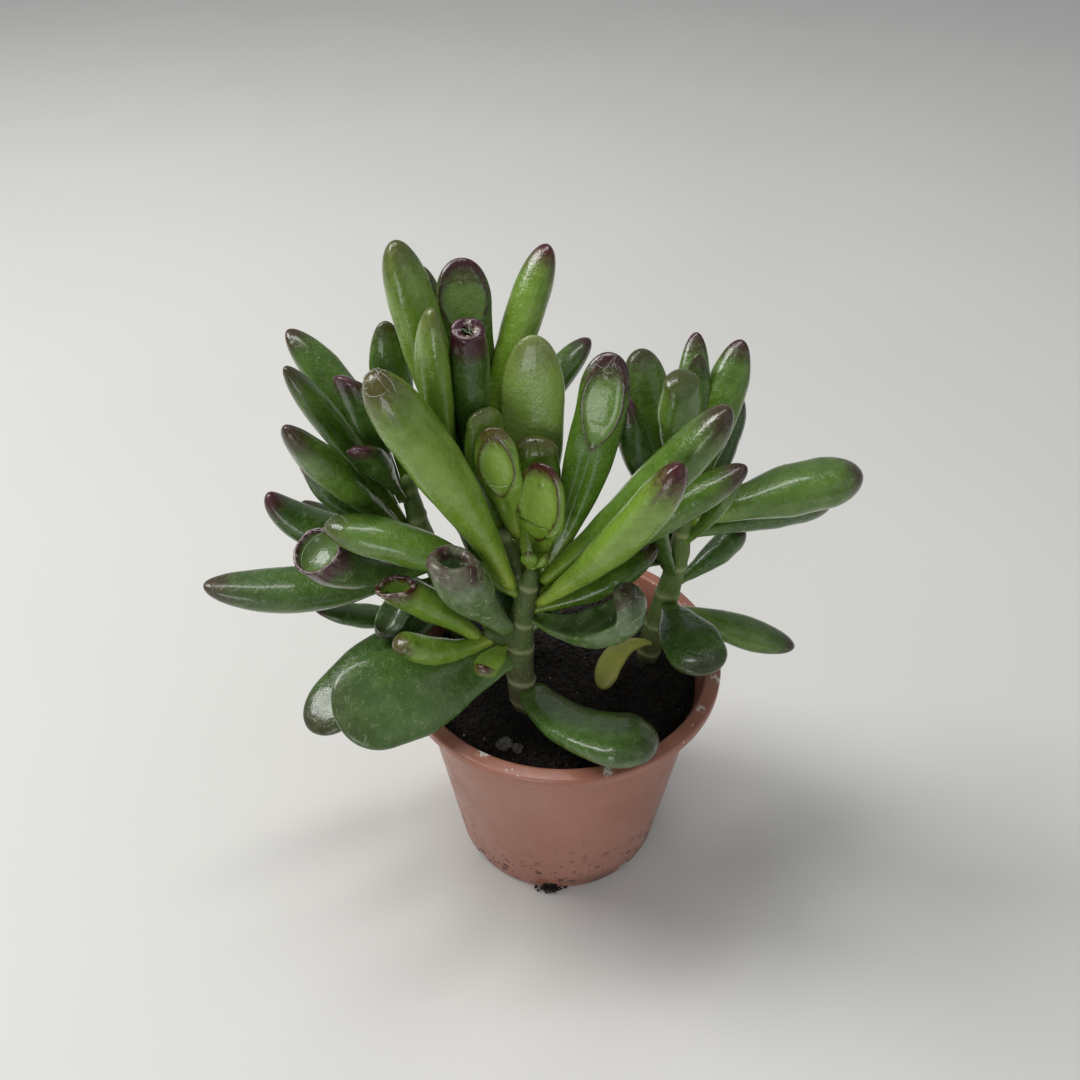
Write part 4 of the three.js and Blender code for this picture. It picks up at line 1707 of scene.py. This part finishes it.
@dataclass
class Pot:
    """The nursery pot, sizes in millimetres."""

    height: float
    rim_radius: float
    rim_width: float = 4.0
    rim_band: float = 3.4
    rim_fall: float = 0.5
    base_radius: float = 30.7
    wall: float = 1.2
    floor: float = 1.8
    notches: int = 8
    notch_width: float = 4.5
    notch_height: float = 3.0
    notch_depth: float = 3.5
    notch_turn: float = -95.0
    drains: int = 6
    drain_radius: float = 3.0
    drain_ring: float = 17.0
    segments: int = 192

    def _radius(self, height: float) -> float:
        """The wall's outer radius at a height."""
        mouth = self.rim_radius - self.rim_width
        return self.base_radius + (mouth - self.base_radius) * height / self.height

    def _profile(self) -> list[tuple[float, float]]:
        """The pot's wall cut through on one side, with its edges rounded.

        Returns:
            Radius and height of each point, from the floor's middle round to its upper side.
        """
        turn = self.height - self.rim_band
        line = self.height - 8.2
        rim, mouth = self.rim_radius, self.rim_radius - self.rim_width
        return fillet(
            [
                (0, 0, 0),
                (self.base_radius - 0.6, 0, 0.6),
                (self._radius(1.0), 1.0, 0.5),
                (self._radius(line - 0.7), line - 0.7, 0.3),
                (self._radius(line) + 0.22, line, 0.5),
                (self._radius(line + 0.7), line + 0.7, 0.3),
                (self._radius(turn), turn, 0.5),
                (rim, turn + 0.1, 0.7),
                (rim, self.height - self.rim_fall, 0.8),
                (mouth, self.height, 0.9),
                (self._radius(turn) - self.wall, turn - self.wall, 1.6),
                (self._radius(self.floor) - self.wall, self.floor, 1.5),
                (0, self.floor, 0),
            ]
        )

    def _revolved(self) -> bpy.types.Object:
        """The pot before anything is cut from it.

        Returns:
            The pot.
        """
        profile = self._profile()
        turns = np.arange(self.segments) / self.segments * FULL_TURN
        inner = profile[1:-1]
        points = [(r * math.cos(t) * MM, r * math.sin(t) * MM, z * MM) for r, z in inner for t in turns]
        points += [(0, 0, profile[0][1] * MM), (0, 0, profile[-1][1] * MM)]
        faces: list[tuple[int, ...]] = []
        count = self.segments
        for row in range(len(inner) - 1):
            for step in range(count):
                after = (step + 1) % count
                this, above = row * count, (row + 1) * count
                faces.append((this + step, this + after, above + after, above + step))
        low, high, top = len(inner) * count, len(inner) * count + 1, (len(inner) - 1) * count
        for step in range(count):
            after = (step + 1) % count
            faces.append((low, after, step))
            faces.append((high, top + step, top + after))
        return new_object("nursery_pot", mesh_from("nursery_pot", np.array(points), faces))

    def _cutters(self) -> bpy.types.Object:
        """One object holding the drain notches' and the drain holes' cutters.

        Returns:
            The cutters.
        """
        shell = bmesh.new()
        for index in range(self.notches):
            turn = math.radians(self.notch_turn + index * 360 / self.notches)
            made = bmesh.ops.create_cube(shell, size=1.0)["verts"]
            for vert in made:
                x = self.base_radius + vert.co.x * 2 * self.notch_depth
                taper = 1 - 0.12 * (vert.co.z > 0)
                y = vert.co.y * self.notch_width * taper
                z = vert.co.z * 2 * self.notch_height
                vert.co = Matrix.Rotation(turn, 3, "Z") @ Vector((x, y, z)) * MM
        for index in range(self.drains):
            turn = index * FULL_TURN / self.drains
            made = bmesh.ops.create_cone(
                shell, cap_ends=True, segments=32, radius1=self.drain_radius * MM,
                radius2=self.drain_radius * MM, depth=self.floor * 4 * MM,
            )["verts"]
            for vert in made:
                vert.co += Vector((math.cos(turn), math.sin(turn), 0)) * self.drain_ring * MM
        mesh = bpy.data.meshes.new("pot_cutters")
        shell.to_mesh(mesh)
        shell.free()
        return new_object("pot_cutters", mesh)

    def build(self) -> bpy.types.Object:
        """Makes the pot with its notches and drain holes.

        Returns:
            The pot.
        """
        pot, cutters = self._revolved(), self._cutters()
        cut = pot.modifiers.new("cut", "BOOLEAN")
        cut.operation = "DIFFERENCE"
        cut.solver = "EXACT"
        cut.object = cutters
        applied(pot)
        bpy.data.objects.remove(cutters)
        pot.data.shade_smooth()
        pot.data.set_sharp_from_angle(angle=math.radians(38))
        return pot


# ------------------------------------------------------------------ soil
@dataclass
class Scatter:
    """Geometry Nodes that strew small grains over a surface."""

    name: str
    density: float
    smallest: float
    largest: float
    seed: int

    def _tree(self) -> bpy.types.NodeTree:
        """Builds the node tree with its named inputs.

        Returns:
            The tree.
        """
        tree = bpy.data.node_groups.new(f"strew_{self.name}", "GeometryNodeTree")
        face = tree.interface
        face.new_socket("Geometry", in_out="INPUT", socket_type="NodeSocketGeometry")
        for label in ("Grains per square metre", "Smallest", "Largest"):
            face.new_socket(label, in_out="INPUT", socket_type="NodeSocketFloat")
        face.new_socket("Seed", in_out="INPUT", socket_type="NodeSocketInt")
        face.new_socket("Grain", in_out="INPUT", socket_type="NodeSocketObject")
        face.new_socket("Finish", in_out="INPUT", socket_type="NodeSocketMaterial")
        face.new_socket("Geometry", in_out="OUTPUT", socket_type="NodeSocketGeometry")
        new, link = tree.nodes.new, tree.links.new
        given, leave = new("NodeGroupInput"), new("NodeGroupOutput")
        spots = new("GeometryNodeDistributePointsOnFaces")
        normal, parts = new("GeometryNodeInputNormal"), new("ShaderNodeSeparateXYZ")
        facing = new("FunctionNodeCompare")
        facing.data_type, facing.operation = "FLOAT", "GREATER_THAN"
        facing.inputs[1].default_value = 0.6
        link(normal.outputs[0], parts.inputs[0])
        link(parts.outputs["Z"], facing.inputs[0])
        link(given.outputs["Geometry"], spots.inputs["Mesh"])
        link(facing.outputs[0], spots.inputs["Selection"])
        link(given.outputs["Grains per square metre"], spots.inputs["Density"])
        link(given.outputs["Seed"], spots.inputs["Seed"])
        turn, size = new("FunctionNodeRandomValue"), new("FunctionNodeRandomValue")
        turn.data_type, size.data_type = "FLOAT_VECTOR", "FLOAT"
        turn.inputs["Max"].default_value = (FULL_TURN, FULL_TURN, FULL_TURN)
        link(given.outputs["Smallest"], size.inputs[2])
        link(given.outputs["Largest"], size.inputs[3])
        for random in (turn, size):
            link(given.outputs["Seed"], random.inputs["Seed"])
        grain = new("GeometryNodeObjectInfo")
        link(given.outputs["Grain"], grain.inputs["Object"])
        put, real = new("GeometryNodeInstanceOnPoints"), new("GeometryNodeRealizeInstances")
        dress = new("GeometryNodeSetMaterial")
        link(spots.outputs["Points"], put.inputs["Points"])
        link(grain.outputs["Geometry"], put.inputs["Instance"])
        link(turn.outputs[0], put.inputs["Rotation"])
        link(size.outputs[1], put.inputs["Scale"])
        link(put.outputs[0], real.inputs[0])
        link(real.outputs[0], dress.inputs["Geometry"])
        link(given.outputs["Finish"], dress.inputs["Material"])
        link(dress.outputs[0], leave.inputs["Geometry"])
        return tree

    def build(
        self, ground: bpy.types.Mesh, grain: bpy.types.Object, finish: bpy.types.Material
    ) -> bpy.types.Object:
        """Strews the grains and returns them as one plain mesh.

        Args:
            ground: the surface that they lie on.
            grain: one grain, a metre across.
            finish: their material.

        Returns:
            The grains.
        """
        holder = new_object(self.name, ground.copy())
        modifier = holder.modifiers.new("strew", "NODES")
        modifier.node_group = self._tree()
        values = {
            "Grains per square metre": self.density, "Smallest": self.smallest, "Largest": self.largest,
            "Seed": self.seed, "Grain": grain, "Finish": finish,
        }
        for item in modifier.node_group.interface.items_tree:
            if item.in_out == "INPUT" and item.name in values:
                modifier[item.identifier] = values[item.name]
        applied(holder)
        if not holder.data.materials:
            holder.data.materials.append(finish)
        return holder


@dataclass
class Soil:
    """Potting soil with crumbs, grit and a few pebbles, sizes in metres."""

    radius: float
    bottom: float
    top: float
    rings: int = 90
    segments: int = 220
    spilt: int = 46  # crumbs by the front drain notch
    narrowing: float = 0.76  # radius at the bottom as a share of the top's
    pebbles: tuple[tuple[float, float, float], ...] = (
        (-0.0155, -0.0268, 0.0021),
        (-0.0118, -0.0282, 0.0016),
        (0.012, -0.004, 0.0013),
    )  # x, y and half the width of each

    def _surface(self, x: float, y: float) -> float:
        """The soil's height at a place.

        Args:
            x: metres to the right.
            y: metres to the back.

        Returns:
            The height in metres.
        """
        away = math.hypot(x, y) / self.radius
        dome = 0.9 * MM * (1 - away**2)
        lumps = noise.fractal(Vector((x * 90, y * 90, 4.2)), 1.0, 2.0, 4)
        clods = noise.noise(Vector((x * 330, y * 330, 1.7)))
        return self.top + dome + lumps * 1.1 * MM + clods * 0.55 * MM - 1.2 * MM * away**8

    def ground(self) -> bpy.types.Mesh:
        """The soil as one closed mesh.

        Returns:
            The mesh.
        """
        turns = np.arange(self.segments) / self.segments * FULL_TURN
        points = [(0.0, 0.0, self._surface(0, 0))]
        for ring in range(1, self.rings + 1):
            reach = self.radius * (ring / self.rings) ** 0.85
            for turn in turns:
                x, y = reach * math.cos(turn), reach * math.sin(turn)
                points.append((x, y, self._surface(x, y)))
        low = len(points)
        foot = self.radius * self.narrowing
        points += [(foot * math.cos(turn), foot * math.sin(turn), self.bottom) for turn in turns]
        points.append((0.0, 0.0, self.bottom))
        count = self.segments
        faces: list[tuple[int, ...]] = [(0, 1 + s, 1 + (s + 1) % count) for s in range(count)]
        for ring in range(self.rings):
            start = 1 + ring * count
            beyond = start + count if ring < self.rings - 1 else low
            for s in range(count):
                after = (s + 1) % count
                faces.append((start + s, beyond + s, beyond + after, start + after))
        faces += [(len(points) - 1, low + (s + 1) % count, low + s) for s in range(count)]
        return mesh_from("potting_soil", np.array(points), faces)

    @staticmethod
    def lump(name: str, detail: int, uneven: float, squash: float) -> bpy.types.Object:
        """One rough lump about a unit across.

        Args:
            name: what it is called.
            detail: how finely it is divided.
            uneven: how rough it is.
            squash: its height as a share of its width.

        Returns:
            The lump.
        """
        shell = bmesh.new()
        bmesh.ops.create_icosphere(shell, subdivisions=detail, radius=0.5)
        chance = Vector(seeded(name).uniform(0, 9, 3))
        for vert in shell.verts:
            coarse, fine = noise.noise(vert.co * 3.1 + chance), noise.noise(vert.co * 8 + chance)
            vert.co = vert.co * (1 + uneven * coarse + 0.4 * uneven * fine)
            vert.co.z *= squash
        mesh = bpy.data.meshes.new(name)
        shell.to_mesh(mesh)
        shell.free()
        mesh.shade_smooth()
        return new_object(name, mesh)

    def _spill(self, finish: bpy.types.Material) -> bpy.types.Object:
        """Crumbs that have washed out through the front drain notch.

        Args:
            finish: the crumbs' material.

        Returns:
            The crumbs as one piece.
        """
        chance = seeded("spill")
        crumbs = []
        for index in range(self.spilt):
            size = chance.uniform(0.5, 1.5) * MM
            x = (chance.normal() * 2.0 - 2.4) * MM
            y = -(30.6 + abs(chance.normal()) * 0.9) * MM
            crumb = self.lump(f"spilt_{index}", 1, 0.9, 0.8)
            place = Matrix.Translation((x, y, size * chance.uniform(0.6, 1.2)))
            crumb.data.transform(place @ Matrix.Scale(size, 4))
            crumb.data.materials.append(finish)
            crumbs.append(crumb)
        return joined("spilt_crumbs", crumbs)

    def build(self, effects: Effects) -> list[bpy.types.Object]:
        """Makes the soil, what is strewn on it and its pebbles.

        Args:
            effects: the shared groups.

        Returns:
            The pieces.
        """
        skins = {name: finish.material(effects) for name, finish in EARTH_FINISHES.items()}
        ground = self.ground()
        bed = new_object("potting_soil", ground)
        ground.materials.append(skins["peat"])
        crumb = self.lump("crumb", 1, 0.9, 0.75)
        pieces = [bed]
        for scatter, finish in (
            (Scatter("soil_crumbs", 1_050_000.0, 0.35 * MM, 2.1 * MM, 3), skins["crumbs"]),
            (Scatter("soil_grit", 16_000.0, 0.35 * MM, 0.95 * MM, 11), skins["grit"]),
            (Scatter("soil_pale_grit", 9_000.0, 0.3 * MM, 1.0 * MM, 23), skins["pale"]),
        ):
            pieces.append(scatter.build(ground, crumb, finish))
        stones = []
        for index, (x, y, size) in enumerate(self.pebbles):
            stone = self.lump(f"pebble_{index}", 4, 0.35, 0.7)
            stone.data.transform(
                Matrix.Translation((x, y, self._surface(x, y) + 0.15 * size)) @ Matrix.Scale(2 * size, 4)
            )
            stone.data.materials.append(skins["stone"])
            stones.append(stone)
        pieces.append(joined("pebbles", stones))
        pieces.append(self._spill(skins["crumbs"]))
        bpy.data.objects.remove(crumb)
        return pieces


# ------------------------------------------------------------------ studio
@dataclass(frozen=True)
class Lamp:
    """A soft rectangular lamp."""

    name: str
    place: tuple[float, float, float]
    size: tuple[float, float]
    power: float  # watts
    colour: tuple[float, float, float] = (1.0, 1.0, 1.0)

    def hang(self, aim: tuple[float, float, float]) -> None:
        """Puts the lamp in the scene, facing a place.

        Args:
            aim: the place that it faces.
        """
        data = bpy.data.lights.new(self.name, "AREA")
        data.shape = "RECTANGLE"
        data.size, data.size_y = self.size
        data.energy = self.power
        data.color = self.colour
        lamp = new_object(self.name, data)
        lamp.location = self.place
        ray = Vector(aim) - Vector(self.place)
        lamp.rotation_euler = ray.to_track_quat("-Z", "Y").to_euler()


LAMPS = [
    Lamp("key", (-0.72, 0.2, 0.92), (0.45, 0.5), 7.2, (1.0, 0.99, 0.97)),
    Lamp("strip", (-0.12, 0.25, 1.1), (0.7, 0.16), 2.8),
    Lamp("window", (-0.3, -1.05, 0.29), (0.42, 0.5), 2.4, (0.97, 0.99, 1.0)),
    Lamp("fill", (0.9, -0.5, 0.7), (1.0, 1.0), 1.0, (0.94, 0.97, 1.0)),
]


@dataclass
class Studio:
    """The floor, the lights and the camera."""

    floor_size: float = 6.0
    lens: float = 35.33
    sensor: float = 36.0
    eye: tuple[float, float, float] = (-0.0058, -0.211, 0.2845)
    tilt: float = 50.55
    aim: tuple[float, float, float] = (0.0, 0.0, 0.09)

    def floor(self) -> None:
        """A plain pale floor."""
        half = self.floor_size / 2
        corners = np.array([(-half, -half, 0), (half, -half, 0), (half, half, 0), (-half, half, 0)], float)
        mesh = bpy.data.meshes.new("floor")
        mesh.from_pydata(corners.tolist(), [], [(0, 1, 2, 3)])
        material, weave, shader = new_material("floor_paint")
        soft = weave.grain(weave.where(), 6.0, 2.0)
        weave.feed(shader.inputs["Base Color"], weave.mix(soft, tint(222, 221, 216), tint(230, 229, 224)))
        shader.inputs["Roughness"].default_value = 0.55
        mesh.materials.append(material)
        new_object("floor", mesh)

    def light(self) -> None:
        """A large window-like key from the upper left and behind, with weak lamps round it."""
        for lamp in LAMPS:
            lamp.hang(self.aim)
        world = bpy.data.worlds.new("studio")
        world.use_nodes = True
        back = world.node_tree.nodes["Background"]
        back.inputs["Color"].default_value = (0.86, 0.89, 0.93, 1)
        back.inputs["Strength"].default_value = 0.3
        bpy.context.scene.world = world
        bpy.context.scene.view_settings.view_transform = "Standard"

    def camera(self) -> None:
        """The camera, with everything in focus."""
        data = bpy.data.cameras.new("camera")
        data.lens, data.sensor_width = self.lens, self.sensor
        data.clip_start = 0.01
        data.dof.use_dof = False
        camera = new_object("camera", data)
        camera.location = self.eye
        camera.rotation_euler = (math.radians(self.tilt), 0, 0)
        bpy.context.scene.camera = camera


# ------------------------------------------------------------------ plant
@dataclass
class Plant:
    """The stems and leaves."""

    frame: dict[str, Any]
    effects: Effects
    soil_top: float

    def __post_init__(self) -> None:
        """Reads which finish each node has."""
        self.slots = {part["node"]: part["material_slot"] for part in self.frame["record"]["subparts"]}
        self.stems = [node for node in self.slots if node.endswith("_stem")]
        self.leaves = [node for node in self.slots if node.endswith("_leaf")]
        self.skins = {slot: finish.material(self.effects) for slot, finish in LEAF_FINISHES.items()}
        self.barks = {slot: finish.material(self.effects) for slot, finish in STEM_FINISHES.items()}

    def _stem_surfaces(self) -> BVHTree:
        """All CAD stems as one surface to measure distances to.

        Returns:
            The surface.
        """
        shell = bmesh.new()
        for node in self.stems:
            shell.from_mesh(self.frame["nodes"][node].data)
        tree = BVHTree.FromBMesh(shell)
        shell.free()
        return tree

    def build_stems(self) -> None:
        """Makes every stem."""
        for node in self.stems:
            stem = Stem(node, self.soil_top).build(self.frame["nodes"][node])
            stem.data.materials.append(self.barks[self.slots[node]])
            hand_in(stem, self.slots[node], node)

    def build_leaves(self) -> None:
        """Makes every leaf that has a CAD node."""
        surfaces = self._stem_surfaces()
        for node in self.leaves:
            form = Form.of(node)
            rings = Rings.read(self.frame["nodes"][node], surfaces, form in (Form.TUBE, Form.CUP))
            name = node.removesuffix(f"_{form.value}_leaf")
            leaf = Leaf(f"{name}_blade", rings, form, LOOKS.get(name, Look())).build()
            leaf.data.materials.append(self.skins[self.slots[node]])
            hand_in(leaf, self.slots[node], node)

    def build_inner_leaves(self) -> None:
        """Makes the buds and the small shaded leaves between the others."""
        for plan in INNER_LEAVES:
            x, y, height = plan.base
            rings = Rings.grown(
                (x, y, height + self.soil_top / MM), plan.heading, plan.rise, plan.length, plan.width
            )
            # painted shade: the shaded inner leaves are painted a little darker, the buds a little lighter
            look = Look(tone=0.1 if plan.slot == "young_leaf" else -0.1, red=0.5)
            leaf = Leaf(f"{plan.name}_blade", rings, Form.FINGER, look, 32, 36, 1.2 * MM).build()
            leaf.data.materials.append(self.skins[plan.slot])
            hand_in(leaf, plan.slot)

    def build_cobwebs(self) -> None:
        """Strings thin silk over a few leaf ends."""
        strands = []
        for name, (mark, least, count) in COBWEBS.items():
            mesh = bpy.data.objects[f"{name}_blade"].data
            values = np.empty(len(mesh.vertices), np.float32)
            mesh.attributes[mark].data.foreach_get("value", values)
            strands += Cobweb(name, count).strands(places(mesh), normals_of(mesh), values > least)
        points = np.concatenate([points for points, _ in strands])
        faces, start = [], 0
        for part, sides in strands:
            faces += [tuple(int(i) + start for i in face) for face in sides]
            start += len(part)
        web = new_object("cobweb_threads", mesh_from("cobweb_threads", points, faces))
        web.data.materials.append(ThreadFinish().material(self.effects))
        hand_in(web, "young_leaf")


def main() -> None:
    """Builds the plant piece by piece around its frame."""
    logging.basicConfig(level=logging.INFO, format="%(name)s %(message)s")
    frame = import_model()
    effects = Effects()
    pot_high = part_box("pot")[1]
    pot = Pot(height=pot_high.z / MM, rim_radius=pot_high.x / MM).build()
    pot.data.materials.append(PotFinish().material(effects))
    hand_in(pot, "pot", "pot")
    soil_low, soil_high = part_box("soil")
    soil_top = pot_high.z - SOIL_DROP
    soil = Soil(radius=soil_high.x, bottom=soil_low.z, top=soil_top)
    for piece in soil.build(effects):
        hand_in(piece, "soil", *(["soil"] if piece.name == "potting_soil" else []))
    plant = Plant(frame, effects, soil_top)
    plant.build_stems()
    plant.build_leaves()
    plant.build_inner_leaves()
    plant.build_cobwebs()
    studio = Studio()
    studio.floor()
    studio.light()
    studio.camera()


if __name__ == "__main__":
    main()
